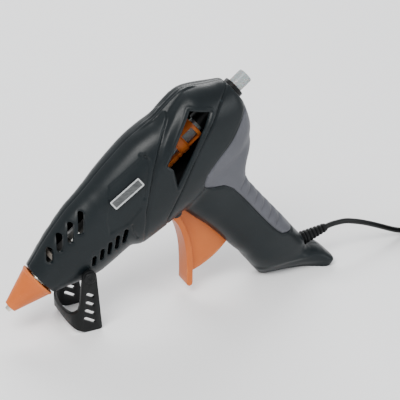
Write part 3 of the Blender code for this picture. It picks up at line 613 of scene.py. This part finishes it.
LABEL_GROOVE = ((143.0, 25.5), (145.0, 23.5), (144.8, 20.2), (142.4, 17.7), (136.1, 12.8), (128.7, 5.9),
                (124.0, 1.4))
LOWER_GROOVE = ((104.4, -9.0), (102.2, -13.8), (100.8, -21.4))


def to_gun(x, z):
    """World (x, z) in millimetres as (u, w)."""
    dx = x - NOZZLE[0]
    dz = z - NOZZLE[1]
    return dx * cos(PITCH) + dz * sin(PITCH), dz * cos(PITCH) - dx * sin(PITCH)


def barrel_form(name, inset, sides, step, open_nose=False):
    rings = []
    for u, top, bottom, half, power in eased_rows(BARREL, step):
        a = 2 * np.pi * (np.arange(sides) + 0.5) / sides
        if u > BARREL[-1][0] - 1e-6:
            u -= inset
        y = (half - inset) * signed_power(np.cos(a), 2 / power)
        w = (top + bottom) / 2 + ((top - bottom) / 2 - inset) * signed_power(np.sin(a), 2 / power)
        rings.append(np.stack([np.full(sides, u), y, w], 1))
    if open_nose:
        rings.insert(0, rings[0] - (12, 0, 0))
    return skin(name, rings)


def handle_form(name, inset, sides, step, skip=0):
    rows = [(*row, 1.0) for row in HANDLE]
    rows += [(*to_gun(xf, zf), *to_gun(xb, zb), front, back, flare)
             for xf, zf, xb, zb, front, back, flare in HEEL]
    rows = np.array(rows[:len(rows) - skip], float)
    middles = (rows[:, 0:2] + rows[:, 2:4]) / 2
    along = np.concatenate([[0], np.cumsum(np.linalg.norm(np.diff(middles, axis=0), axis=1))])
    rings = []
    for row in eased_rows(np.column_stack([along, rows]), step):
        uf, wf, ub, wb, front, back, flare = row[1:]
        near = np.array((uf, wf))
        far = np.array((ub, wb))
        ahead = (far - near) / np.linalg.norm(far - near)
        near = near + ahead * inset
        far = far - ahead * inset
        a = 2 * np.pi * (np.arange(sides) + 0.5) / sides
        power = 2 / (2.5 + (flare - 1) / 3)
        t = 0.5 - 0.5 * signed_power(np.cos(a), power)
        half = front + (back - front) * t ** flare - inset
        at = near + t[:, None] * (far - near)
        rings.append(np.stack([at[:, 0], half * signed_power(np.sin(a), power), at[:, 1]], 1))
    return skin(name, rings)


def height(points):
    """World z of points in the gun frame."""
    return points @ (sin(PITCH), 0, cos(PITCH)) + NOZZLE[1]


def gathered(items, field, width, kind=np.float32):
    """One field of a mesh's items as an array with a row for each."""
    found = np.zeros(len(items) * width, kind)
    items.foreach_get(field, found)
    return found.reshape(-1, width)


def coordinates(mesh):
    return gathered(mesh.vertices, "co", 3).astype(float) / MM


def set_coordinates(mesh, points):
    mesh.vertices.foreach_set("co", (points * MM).astype(np.float32).ravel())
    mesh.update()


def relaxed(mesh, weight, rounds, factor=0.5):
    """Moves vertices towards their neighbours' mean, as far as weight (0 to 1 each) allows."""
    edges = gathered(mesh.edges, "vertices", 2, np.int32)
    points = coordinates(mesh)
    count = np.bincount(edges.ravel(), minlength=len(points)).astype(float)
    for _ in range(rounds):
        total = np.zeros_like(points)
        for column in range(3):
            total[:, column] = (np.bincount(edges[:, 0], points[edges[:, 1], column], len(points))
                                + np.bincount(edges[:, 1], points[edges[:, 0], column], len(points)))
        mean = total / count[:, None]
        points += (mean - points) * factor * weight[:, None]
    set_coordinates(mesh, points)


def remeshed(mesh, voxel):
    obj = put("remesh", mesh)
    mod = obj.modifiers.new("voxels", "REMESH")
    mod.mode = "VOXEL"
    mod.voxel_size = voxel * MM
    return evaluated(obj)


VOXEL = 0.8
CREASE = ((138, -36), (140, -42), (160, -44.0), (178, -43.8), (195, -42), (206, -39.5), (214, -34))


def body_form():
    """Barrel and handle in one skin, smoothed but for the feet, and most where the two meet."""
    mesh = boolean(barrel_form("barrel", 0.0, 96, 3.0), handle_form("handle", 0.0, 96, 3.0), "UNION")
    mesh = remeshed(mesh, VOXEL)
    relaxed(mesh, (height(coordinates(mesh)) > 1.0).astype(float), 3)
    gap, _ = distance_to(coordinates(mesh)[:, (0, 2)], CREASE)
    relaxed(mesh, 1 - step_up(gap, 5.0, 12.0), 60)
    return mesh


def slot_gap(uw, cu, cw, length, width, degrees):
    """Distance outside a round-ended slot."""
    half = length / 2 - width / 2
    along = np.array((cos(radians(degrees)), sin(radians(degrees)))) * half
    gap, _ = distance_to(uw, ((cu - along[0], cw - along[1]), (cu + along[0], cw + along[1])))
    return gap - width / 2


def groove(uw, line, depth, width):
    """Depth of a round-bottomed groove along a line of (u, w) points."""
    gap, _ = distance_to(uw, line)
    return depth * np.exp(-(gap / width) ** 2)


def casing_relief(points):
    """How deep the casing's moulded features go at each point, in millimetres."""
    u, y, w = points.T
    y = abs(y)
    uw = points[:, (0, 2)]
    left = step_up(-points[:, 1], 4.0, 7.0)
    flat = step_up(y, 6.0, 9.0)
    # sunk band across the barrel
    gap, side = distance_to(uw, BAND_FRONT)
    past_front = gap * side
    gap, side = distance_to(uw, BAND_REAR)
    before_rear = -gap * side
    depth = 1.8 * step_up(past_front, -0.3, 0.9) * step_up(before_rear, -0.4, 4.0) * step_up(y, 2.6, 6.0)
    # label field and grooves
    depth += 0.8 * step_up(inside(uw, LABEL_FIELD), -0.2, 1.3) * left
    depth += groove(uw, LABEL_GROOVE, 1.2, 0.9) * left
    depth += groove(uw, LOWER_GROOVE, 0.9, 0.8) * step_up(y, 8.0, 10.0)
    # sunk edge of the window, with a raised rim round it
    out = -inside(uw, WINDOW)
    depth += flat * (1.0 * (1 - step_up(out, 0.0, 1.3)) - 0.45 * np.exp(-((out - 2.2) / 0.8) ** 2))
    # seam between front and rear shells, and vents
    gap, _ = distance_to(uw, SEAM)
    depth += 0.55 * (1 - step_up(gap, 0.1, 1.3))
    for vents, slot, rim in ((UPPER_VENTS, UPPER_SLOT, 1.1), (LOWER_VENTS, LOWER_SLOT, 1.0)):
        for vent in vents:
            depth += 0.4 * (1 - step_up(slot_gap(uw, *vent, *slot), 0.0, rim)) * flat
    # raised spine on top, and the line where the halves meet
    spine = step_up(u, 152, 168) * (1 - step_up(u, 201, 207)) * step_up(w, 12, 16)
    depth -= 0.8 * spine * (1 - step_up(y, 2.4, 3.4))
    depth += 0.3 * (1 - step_up(y, 0.1, 0.9))
    # edge of the soft grip
    gap, _ = distance_to(uw, GRIP_EDGE)
    depth = np.minimum(depth, 2.1)
    return depth + 0.7 * (1 - step_up(gap, 0.2, 1.6))


def pressed(mesh, relief, clear_z=0.3):
    """The mesh pushed in along its normals by relief(points), but not below its feet."""
    points = coordinates(mesh)
    normals = gathered(mesh.vertex_normals, "vector", 3).astype(float)
    moved = points - normals * relief(points)[:, None]
    moved = np.where((height(moved) < clear_z)[:, None], points, moved)
    made = mesh.copy()
    set_coordinates(made, moved)
    return made


def grip_relief(points):
    """Rounded rim and five finger ridges down the grip's back."""
    u, _, w = points.T
    gap, _ = distance_to(points[:, (0, 2)], GRIP_EDGE)
    depth = 1.3 * (1 - step_up(gap, 0.0, 2.4)) ** 2
    back = step_up(u, 175.5, 183.0) * step_up(-w, 56, 60) * (1 - step_up(-w, 110, 114))
    wave = 0.5 + 0.5 * np.cos(2 * np.pi * (w + 60) / 9.6)
    return depth + 1.3 * back * wave ** 3


body_mesh = body_form()
casing_mesh = pressed(body_mesh, casing_relief)
grip_mesh = pressed(body_mesh, grip_relief)


# ---- casing and soft grip

def offset(points, distance):
    """An open run of (u, w) points moved sideways."""
    moved = []
    for i, (a, b) in enumerate(points):
        before = Vector(points[max(i - 1, 0)])
        after = Vector(points[min(i + 1, len(points) - 1)])
        along = (after - before).normalized()
        moved.append((a - along.y * distance, b + along.x * distance))
    return moved


def rod(name, start, end, radius, sides=40):
    """Solid cylinder between two points in millimetres."""
    start = Vector(start)
    end = Vector(end)
    bm = bmesh.new()
    turn = (end - start).to_track_quat("Z", "Y").to_matrix().to_4x4()
    bmesh.ops.create_cone(bm, cap_ends=True, segments=sides, radius1=radius * MM, radius2=radius * MM,
                          depth=(end - start).length * MM,
                          matrix=Matrix.Translation((start + end) / 2 * MM) @ turn)
    return mesh_from(bm, name)


def block(name, low, high):
    """Box between two (u, y, w) corners."""
    (ua, ya, wa), (ub, yb, wb) = low, high
    return slab(name, [(ua, wa), (ub, wa), (ub, wb), (ua, wb)], ya, yb)


FINE_SEAM = smooth_outline(SEAM, 3.0)
FINE_EDGE = smooth_outline(GRIP_EDGE, 2.0)
REAR_SEAM = offset(FINE_SEAM, GAP)
HALVES = {-1: (-REACH, -SPLIT), 1: (SPLIT, REACH)}


def skin_y(u, w):
    """Half width of the barrel's outside at (u, w)."""
    for a, b in zip(BARREL, BARREL[1:]):
        if a[0] <= u <= b[0]:
            t = (u - a[0]) / (b[0] - a[0])
            top, bottom, half, power = (p + (q - p) * t for p, q in zip(a[1:], b[1:]))
            rise = abs((w - (top + bottom) / 2) / ((top - bottom) / 2))
            return half * (1 - rise ** power) ** (1 / power)
    raise ValueError("outside the barrel")


# (node, u, w, half width there) of each screw
SCREWS = [(f"front_screw_{i + 1}", u, w, skin_y(u, w)) for i, (u, w) in enumerate(FRONT_SCREWS)]
SCREWS += [(f"handle_screw_{i + 1}", u, w, 17.3 if w < -60 else skin_y(u, w))
           for i, (u, w) in enumerate(HANDLE_SCREWS)]


def screw_well(u, w, edge):
    return cylinder("well", (u, w), edge - WELL_DEPTH, REACH, WELL_RADIUS, 28)


stand_u, stand_w = to_gun(*STAND_PIVOT)
exit_u, exit_w = to_gun(*EXIT)
exit_point = Vector((exit_u, 0, exit_w))
relief_dir = Vector((cos(EXIT_RISE - PITCH), 0, sin(EXIT_RISE - PITCH)))
COLLAR_CUT = rod("collar_cut", (210, 0, 0), (240, 0, 0), 8.5)
RELIEF_CUT = rod("relief_cut", exit_point - relief_dir * 16, exit_point + relief_dir * 30, 4.6)
RELIEF_SEAT = rod("relief_seat", exit_point + relief_dir * 0.2, exit_point + relief_dir * 20, 6.0)


def front_shell(side, node):
    outline = [(10, 80), (10, -70)] + FINE_SEAM[::-1] + [(250, 80)]
    mesh = boolean(casing_mesh.copy(), slab("front_half", outline, *HALVES[side]), "INTERSECT")
    mesh = cut(mesh, barrel_form("front_hollow", WALL, 48, 4.0, open_nose=True))
    cuts = [slab("window", WINDOW, -REACH, REACH),
            cylinder("pivot", (stand_u, stand_w), -REACH, REACH, PIVOT_BORE)]
    for vents, slot, pieces in ((UPPER_VENTS, UPPER_SLOT, 12), (LOWER_VENTS, LOWER_SLOT, 10)):
        cuts += [slab("vent", slot_outline(*vent, *slot, pieces), -REACH, REACH) for vent in vents]
    if side > 0:
        cuts += [screw_well(u, w, edge) for _, u, w, edge in SCREWS[:2]]
    mesh = cut(mesh, combined("front_cuts", cuts))
    if side > 0:
        # the third well meets the window's cutter, so it is cut on its own
        mesh = cut(mesh, screw_well(*SCREWS[2][1:]))
    mesh = cut(mesh, COLLAR_CUT.copy())
    piece("casing_" + node, shade(mesh, 40), CASING, [node])


def handle_shell(side, node):
    outline = REAR_SEAM + [(REAR_SEAM[-1][0], -260), (300, -260)]
    mesh = boolean(casing_mesh.copy(), slab("rear_half", outline, *HALVES[side]), "INTERSECT")
    mesh = cut(mesh, barrel_form("deep_barrel", DEEP_WALL, 48, 4.0, open_nose=True),
               handle_form("deep_handle", DEEP_WALL, 48, 4.0, skip=2))
    pocket = slab("pocket", FINE_EDGE + [(260, -127.5), (260, -10.4)], -REACH, REACH)
    pocket = cut(pocket, barrel_form("pocket_barrel", GRIP_T + GAP, 64, 3.0),
                 handle_form("pocket_handle", GRIP_T + GAP, 64, 3.0, skip=1))
    blade = block("blade_slot", (120, -10.0, -60), (138.5, 10.0, -29))
    web = slab("web_slot", [(136, -30), (162, -30), (160, -97.5), (136, -97.5)], -3.9, 3.9)
    mesh = cut(mesh, pocket, COLLAR_CUT.copy(), RELIEF_CUT.copy(), RELIEF_SEAT.copy(), web, blade)
    ear = cylinder("ear", TRIGGER_PIVOT, *sorted((side * 10.6, side * 14.4)), 4.4)
    mesh = boolean(mesh, ear, "UNION")
    mesh = cut(mesh, cylinder("bore", TRIGGER_PIVOT, -15, 15, TRIGGER_BORE))
    if side > 0:
        mesh = cut(mesh, *[screw_well(u, w, edge) for _, u, w, edge in SCREWS[3:]])
    piece("casing_" + node, shade(mesh, 40), CASING, [node])


front_shell(-1, "front_shell_left")
front_shell(1, "front_shell_right")
handle_shell(-1, "handle_shell_left")
handle_shell(1, "handle_shell_right")


def soft_grip():
    edge = offset(FINE_EDGE, GAP)
    region = slab("grip_region", edge + [(255, -127.0), (255, -10.7)], -REACH, REACH)
    mesh = boolean(grip_mesh.copy(), region, "INTERSECT")
    mesh = cut(mesh, barrel_form("grip_back_barrel", GRIP_T, 64, 3.0),
               handle_form("grip_back_handle", GRIP_T, 64, 3.0, skip=1))
    piece("soft_grip_skin", shade(mesh, 40), GRIP, ["soft_grip"])


soft_grip()


def pan_head_screw(name, u, w, edge):
    """Pan-head screw along y with a cross recess, its head in the right shell's well."""
    profile = [(0.0, -7.6), (1.45, -7.0), (1.45, edge - 2.9), (3.0, edge - 2.9), (3.0, edge - 2.2)]
    profile += [(3.0 - 1.3 * (1 - cos(a)), edge - 2.2 + 1.2 * sin(a))
                for a in (0.4, 0.8, 1.2)] + [(0.0, edge - 1.0)]
    mesh = revolved(name, profile, 40, axis="y")
    for degrees in (20, 110):
        turn = Matrix.Rotation(radians(degrees), 4, "Y")
        arm = block("recess", (-1.7, edge - 1.9, -0.35), (1.7, edge + 1.0, 0.35))
        arm.transform(turn)
        mesh = cut(mesh, arm)
    mesh.transform(shift(u, 0, w))
    piece(name + "_head", shade(mesh), STEEL, [name])


for screw_name, screw_u, screw_w, screw_edge in SCREWS:
    pan_head_screw(screw_name, screw_u, screw_w, screw_edge)


# ---- nozzle, collar and stick

# (radius, u) profiles
NOZZLE_TIP = ((2.1, -1.2), (1.9, -1.4), (1.15, -1.4), (1.0, -1.2), (1.0, 12.0), (2.6, 16.0), (2.6, 40.0),
              (4.2, 40.0), (4.2, 31.0), (6.4, 31.0), (6.4, 22.0), (3.0, 4.0))
SLEEVE = ((3.5, 1.6), (3.3, 2.4), (6.8, 21.6), (6.8, 26.0), (11.4, 27.0), (11.4, 29.6), (13.7, 29.6),
          (13.95, 29.3), (14.0, 28.7), (13.75, 28.0), (13.35, 27.3), (13.0, 27.0), (12.85, 26.3), (4.85, 2.4),
          (4.7, 1.9), (4.4, 1.6))
COLLAR = ((6.1, 188.0), (6.1, 224.6), (6.35, 225.4), (6.9, 226.1), (7.5, 226.4), (8.0, 226.2), (8.2, 225.7),
          (8.2, 213.0), (7.3, 212.4), (7.3, 188.8), (6.9, 188.0))
STICK = ((0.0, 64.0), (4.6, 64.0), (5.3, 64.5), (5.6, 65.2), (5.6, 236.6), (5.45, 237.3), (5.05, 237.8),
         (4.3, 238.0), (0.0, 238.2))

piece("nozzle_metal", revolved("nozzle_metal", NOZZLE_TIP, 48), BRASS, ["nozzle_tip"])
piece("nozzle_cone", revolved("nozzle_cone", SLEEVE, 96), SILICONE, ["nozzle_sleeve"])
piece("stick_inlet", revolved("stick_inlet", COLLAR, 64), BLACK, ["stick_collar"])
piece("stick", revolved("stick", STICK, 64), GLUE, ["glue_stick"], "stick")


# ---- feed mechanism

CARRIAGE = (131.0, 172.0)
RING_BACK = 13.5  # the rear ring, carried on side rails, ends this far behind the CAD carriage
JAW_PIVOT = (169.0, 12.5)
DRIVE_ARM = 20
DRIVE_LEAN = radians(12.5)
DRIVE_PIN = (TRIGGER_PIVOT[0] + DRIVE_ARM * sin(DRIVE_LEAN),
             TRIGGER_PIVOT[1] + DRIVE_ARM * cos(DRIVE_LEAN))


def feed_carriage():
    u0, u1 = CARRIAGE
    du, dw = DRIVE_PIN
    rear = u1 + RING_BACK
    profile = [(6.3, u0 + 0.5), (6.3, rear - 0.5), (6.8, rear), (8.4, rear), (8.8, rear - 0.4),
               (8.8, u1 + 0.6), (9.5, u1 - 0.1)]
    for rib in (u1 - 6, u1 - 10, u0 + 9, u0 + 5):
        profile += [(9.5, rib + 0.9), (8.9, rib + 0.6), (8.9, rib - 0.6), (9.5, rib - 0.9)]
    mesh = revolved("carriage", profile + [(9.5, u0 + 0.4), (9.1, u0), (6.8, u0)], 64)
    mesh = cut(mesh, block("opening", (u0 + 13, -12, -1.5), (u1 - 7, 12, 12)),
               block("sight_opening", (u1 + 1.2, -12, -4.5), (rear - 2.6, 12, 5.5)))
    for side in (-1, 1):
        low, high = sorted((side * 3.7, side * 6.5))
        mesh = boolean(mesh, block("cheek", (du - 5, low, dw - 5), (du + 8, high, -6.9)), "UNION")
        mesh = boolean(mesh, block("ear", (u1 - 6.4, low, 7.2), (u1 - 0.2, high, 15.6)), "UNION")
    mesh = cut(mesh, slab("slot", slot_outline(du, dw + 0.25, 4.6, 3.6, 90), -12, 12),
               cylinder("pin_bore", JAW_PIVOT, -12, 12, JAW_BORE, 24))
    piece("carriage", shade(mesh), ORANGE, ["feed_carriage"], "feeder")


def grip_jaw():
    outline = arc(0, 0, 2.9, -60, 120, 14) + [(-6, 1.6), (-12.5, -1.4), (-13.4, -5.8), (-11.6, -6.2),
                                             (-10.2, -4.4), (-5.0, -2.8)]
    mesh = slab("jaw", [(JAW_PIVOT[0] + a, JAW_PIVOT[1] + b) for a, b in outline], -3.2, 3.2)
    mesh = cut(rounded(mesh, 0.3), cylinder("jaw_bore", JAW_PIVOT, -6, 6, JAW_BORE, 24))
    piece("jaw", shade(mesh), STEEL, ["grip_jaw"], "jaw")


def tube(name, points, radius, sides=14):
    """Round tube along a run of points (millimetres), its rings carried without twist."""
    path = [Vector(p) for p in points]
    rings = []
    across = None
    for i, point in enumerate(path):
        along = (path[min(i + 1, len(path) - 1)] - path[max(i - 1, 0)]).normalized()
        if across is None:
            across = along.orthogonal().normalized()
        across = (across - along * across.dot(along)).normalized()
        other = along.cross(across)
        rings.append([point + (across * cos(a) + other * sin(a)) * radius
                      for a in (2 * pi * k / sides for k in range(sides))])
    return skin(name, rings)


def return_spring():
    turns, radius, start, end = 6, 8.0, 110.2, 129.8
    steps = turns * 32
    points = []
    for i in range(steps + 1):
        a = 2 * pi * turns * i / steps
        points.append((start + (end - start) * i / steps, radius * cos(a), radius * sin(a)))
    spring = piece("spring", tube("spring", points, 0.55, 10), STEEL, ["return_spring"])
    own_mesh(spring)


feed_carriage()
grip_jaw()
return_spring()


# ---- trigger

def trigger():
    """Finger blade with a proud front band, thin web, hub and drive arm."""
    pu, pw = TRIGGER_PIVOT
    du, dw = DRIVE_PIN
    web = [(130.5, -38), (129.8, -48), (126.6, -58), (121.8, -69), (114.8, -80)]
    web += arc(pu, pw, 61.0, -115, -76, 24) + [(139.4, -37), (du + 2.9, dw - 0.6)]
    web += arc(du, dw, 2.9, 20, 170, 12)
    mesh = rounded(slab("web", web, -3.4, 3.4), 0.5)
    front = [(128.0, -40.0), (127.4, -49.0), (124.2, -59.0), (119.2, -69.2), (111.8, -80.1), (104.6, -89.6)]
    end = [(101.2, -93.6), (100.8, -95.4), (101.4, -97.0), (102.8, -97.6), (104.3, -97.2), (105.4, -96.2)]
    back = [(111.6, -88.4), (117.0, -81.4), (121.4, -75.0), (126.2, -65.6), (130.2, -55.0), (133.0, -43.0)]
    outline = smooth_outline(front, 3.0) + end + smooth_outline(back, 3.0)
    blade = rounded(slab("blade", outline, -7.5, 7.5), 2.0, segments=5, degrees=50)
    mesh = boolean(mesh, blade, "UNION")
    mesh = boolean(mesh, cylinder("hub", TRIGGER_PIVOT, -4.9, 4.9, 5.2, 48), "UNION")
    mesh = cut(mesh, cylinder("eye", TRIGGER_PIVOT, -12, 12, TRIGGER_BORE, 32),
               cylinder("drive_eye", DRIVE_PIN, -12, 12, 1.8, 24))
    piece("trigger_blade", shade(mesh, 35), ORANGE, ["trigger"], "trigger")


trigger()


# ---- stand

def stand():
    """Stirrup stand: slotted legs joined by a bowed apron, drawn about its pivot in world axes."""
    def horseshoe(half, bow):
        angles = [radians(-90 + 180 * i / 48) for i in range(1, 48)]
        front = [(-7.0 - bow * max(cos(a), 0.0) ** 0.7, half * sin(a)) for a in angles]
        return [(12.0, -half), (-7.0, -half)] + front + [(-7.0, half), (12.0, half)]

    mesh = slab("stand", horseshoe(21.0, 10.4) + horseshoe(18.6, 8.0)[::-1], -REACH, REACH)
    mesh.transform(Matrix.Rotation(radians(90), 4, "X"))
    foot = -STAND_PIVOT[1]
    leg = arc(0, 0, 5.4, 0, 180, 28)
    leg += [(-6.6, -8), (-7.6, -17), (-8.4, -22.0), (-9.6, -25.2), (-12.6, -28.0), (-15.2, -29.1),
            (-18.2, -29.5), (-18.2, foot + 14), (-16.2, foot + 8), (-12.8, foot + 4.4),
            (-8.4, foot + 1.8), (-5.4, foot + 0.5), (-2.5, foot), (6.6, foot), (7.7, foot + 0.5),
            (8.2, foot + 1.6)]
    mesh = boolean(mesh, slab("side_view", leg, -40, 40), "INTERSECT")
    for drop, length in ((14.6, 6.9), (21.6, 7.6), (28.4, 8.8), (35.0, 10.0)):
        slot = slot_outline(0.9 - 0.06 * drop, -drop, length, 2.6, -33, 10)
        mesh = cut(mesh, slab("slot", slot, -40, 40))
    mesh = cut(mesh, cylinder("eye", (0, 0), -REACH, REACH, PIVOT_BORE, 40))
    mesh = rounded(mesh, 0.45, degrees=55)
    mesh.transform(shift(STAND_PIVOT[0], 0, STAND_PIVOT[1]))
    piece("stirrup_stand", shade(mesh, 50), BLACK, ["stand"], "stand", place=None)


def stand_pivot(side, node):
    """Pivot boss with a dimpled cap outside the leg."""
    profile = [(0.0, 14.2), (2.9, 14.2), (2.9, 21.3), (4.3, 21.3), (4.3, 21.9), (3.9, 22.3), (2.3, 22.3),
               (1.9, 21.9), (1.0, 21.6), (0.0, 21.5)]
    mesh = revolved(node, [(r, side * y) for r, y in profile], 56, axis="y")
    mesh.transform(shift(stand_u, 0, stand_w))
    piece(node + "_cap", shade(mesh), BLACK, [node])


stand()
stand_pivot(-1, "stand_pivot_left")
stand_pivot(1, "stand_pivot_right")


# ---- blank label plate

def round_rect(half_u, half_w, radius):
    corners = ((half_u, half_w, 0), (-half_u, half_w, 90), (-half_u, -half_w, 180), (half_u, -half_w, 270))
    points = []
    for cu, cw, start in corners:
        cu -= copysign(radius, cu)
        cw -= copysign(radius, cw)
        points += arc(cu, cw, radius, start, start + 90, 8)
    return points


def badge():
    """Blank framed plate on the left side, tilted to the casing's skin. It carries no mark."""
    u, w = 117.8, 13.7
    slope = (skin_y(u, w + 3) - skin_y(u, w - 3)) / 6
    taper = (skin_y(u + 10, w) - skin_y(u - 10, w)) / 20
    normal = Vector((-taper, -1.0, -slope)).normalized()
    along = Vector((1.0, -taper, 0.0)).normalized()
    up = normal.cross(along)
    base = rounded(slab("badge", round_rect(13.25, 3.5, 0.9), -0.4, 0.4), 0.2, degrees=60)
    base = boolean(base, slab("field", round_rect(12.5, 2.75, 0.5), -0.6, -0.22))
    place = Vector((u, -skin_y(u, w), w)) + normal * 0.8
    turn = Matrix((along, -normal, up)).transposed().to_4x4()
    field = rounded(slab("label_field", round_rect(12.2, 2.45, 0.35), -0.32, -0.1), 0.06, degrees=60)
    for mesh in (base, field):
        mesh.transform(Matrix.Translation(place * MM) @ turn)
    piece("label_plate", shade(base), LABEL, ["badge_plate"])
    piece("label_field", shade(field), FIELD)


badge()


# ---- strain relief, cord and plug

relief_world = Vector((cos(EXIT_RISE), 0, sin(EXIT_RISE)))
exit_world = Vector((EXIT[0], 0, EXIT[1]))


def strain_relief():
    """Ribbed cone round the cord where it leaves the heel."""
    profile = [(0.0, RELIEF_LENGTH + 0.2), (2.6, RELIEF_LENGTH + 0.2), (3.1, RELIEF_LENGTH)]
    pitch = (RELIEF_LENGTH - 3.0) / RELIEF_RIBS
    for i in range(RELIEF_RIBS):
        top = RELIEF_LENGTH - 1.5 - i * pitch
        r = 3.5 + 1.9 * (i + 0.5) / RELIEF_RIBS
        profile += [(r - 0.25, top), (r, top - 0.3), (r, top - pitch * 0.5), (r - 0.25, top - pitch * 0.58)]
        profile += [(r - 0.9, top - pitch * 0.65), (r - 0.85, top - pitch * 0.92)]
    profile += [(5.6, 1.2), (5.6, 0.6), (4.2, 0.6), (4.2, -7.0), (0.0, -7.0)]
    mesh = revolved("relief", profile, 48)
    turn = Matrix.Rotation(-EXIT_RISE, 4, "Y")
    mesh.transform(Matrix.Translation(exit_world * MM) @ turn)
    piece("relief", shade(mesh), BLACK, ["strain_relief"], place=None)


COIL_START = 28.7  # radius where the lead joins, eased to COIL_RADIUS over a quarter turn
COIL_TURNS = 12
QUARTER = 90
# (degrees, inward, up): each move shifts the cord by its own thickness over a quarter turn
COIL_MOVES = ((270, -1, 0), (630, 0, 1), (900, 1, 0), (1260, 0, 1), (1530, -1, 0), (1890, 0, 1), (2160, 1, 0),
              (2520, 0, 1), (2790, -1, 0), (3150, 0, 1), (3420, 1, 0), (3780, 0, 1), (4140, 0, 1))


def coil_path():
    """Hand-wound coil: twelve turns in pairs."""
    points = []
    for degrees in range(0, 360 * COIL_TURNS + 1, 6):
        r = COIL_RADIUS + (COIL_START - COIL_RADIUS) * (1 - step_up(degrees, 0, QUARTER))
        z = CORD_R + 0.1
        for start, inward, up in COIL_MOVES:
            t = step_up(degrees, start, start + QUARTER)
            r += inward * 2 * CORD_R * (1 - cos(pi * t / 2))
            z += up * 2 * CORD_R * sin(pi * t / 2)
        a = radians(degrees)
        points.append((COIL_CENTRE[0] + r * sin(a), COIL_CENTRE[1] + r * cos(a), z))
    return points


def plug():
    """Flat two-pin plug with finger ridges and a ribbed neck, lying on its side on the table."""
    rows = eased_rows(((0, 3.0, 3.0), (12, 4.6, 4.4), (16, 9.0, 6.2), (24, 12.4, 6.7), (34, 13.4, 6.9),
                       (PLUG_LENGTH, 13.0, 6.5)), 0.4)
    rings = []
    for x, half_width, half_height in rows:
        sunk = 0.0
        for start, end, depth, ridge in ((1.5, 12.5, 0.4, 2.4), (18.5, 31.0, 0.45, 2.5)):
            if start < x < end:
                sunk = depth * max(0.0, cos(2 * pi * x / ridge)) ** 0.5
        ring = []
        for i in range(64):
            a = 2 * pi * (i + 0.5) / 64
            y = (half_width - sunk) * signed_power(cos(a), 0.75)
            z = (half_height - 0.3 * sunk) * signed_power(sin(a), 0.75)
            ring.append((PLUG_X + x, PLUG_Y + y, PLUG_Z + z))
        rings.append(ring)
    body = piece("mains_plug", shade(skin("mains_plug", rings), 45), BLACK,
                 ["plug_body"], place=None)
    parts = [body]
    for side, node in ((-1, "plug_pin_left"), (1, "plug_pin_right")):
        profile = [(0.0, 0.3), (2.0, 0.3), (2.0, 9.0), (1.85, 9.3), (1.85, 9.6), (2.0, 9.9), (2.0, 17.6),
                   (1.75, 18.4), (1.1, 18.9), (0.0, 19.0)]
        mesh = revolved(node, profile, 32)
        mesh.transform(shift(PLUG_X + PLUG_LENGTH, PLUG_Y + side * PIN_OFFSET, PLUG_Z))
        parts.append(piece(node + "_metal", mesh, BRASS, [node], place=None))
    return parts


def cord(plug_parts):
    """Mains cord from the strain relief through the coil to the plug."""
    start = exit_world + relief_world * (RELIEF_LENGTH + GAP)
    lead = [start, start + relief_world * 5, (147.6, 0, 26.4), (156.6, 0, 24.2), (166.6, 0, 20.6),
            (176.6, 0, 16.2), (186.6, 0, 11.4), (196.0, 0.2, 6.9), (205.0, 1.0, 3.6), (213.0, 2.1, 2.4),
            (221.0, 2.8, 2.3)]
    coil = coil_path()
    tail = [coil[-1], (232.0, -1.6, 33.1), (243.0, -0.4, 30.4), (254.0, 1.8, 22.4), (264.0, 4.0, 12.8),
            (273.0, 5.6, 8.0), (PLUG_X - GAP, PLUG_Y, 7.0)]
    path = smooth_path(lead, 2.5)[:-1] + [Vector(p) for p in coil[:-1]] + smooth_path(tail, 2.5)
    mesh = tube("mains_cord", path, CORD_R, 16)
    obj = piece("mains_cord", mesh, CORD, ["cord_lead", "cord_coil", "cord_tail"],
                place=None)


strain_relief()
cord(plug())


# ---- inner pieces kept from the CAD

# The melt chamber's alloy colour carries painted shade for the housing's dark inside.
KEPT = {"melt_chamber": SHADE_DARKENED_ALLOY, "chamber_holder_front": CERAMIC, "chamber_holder_rear": CERAMIC,
        "inlet_sleeve": HEATPROOF, "heater_element": CERAMIC, "heater_clip": STEEL, "jaw_pin": STEEL,
        "drive_pin": STEEL, "trigger_pin": STEEL, "cord_inner": CORD}
for node_name, node_material in KEPT.items():
    for material_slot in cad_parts[node_name].material_slots:
        material_slot.material = node_material
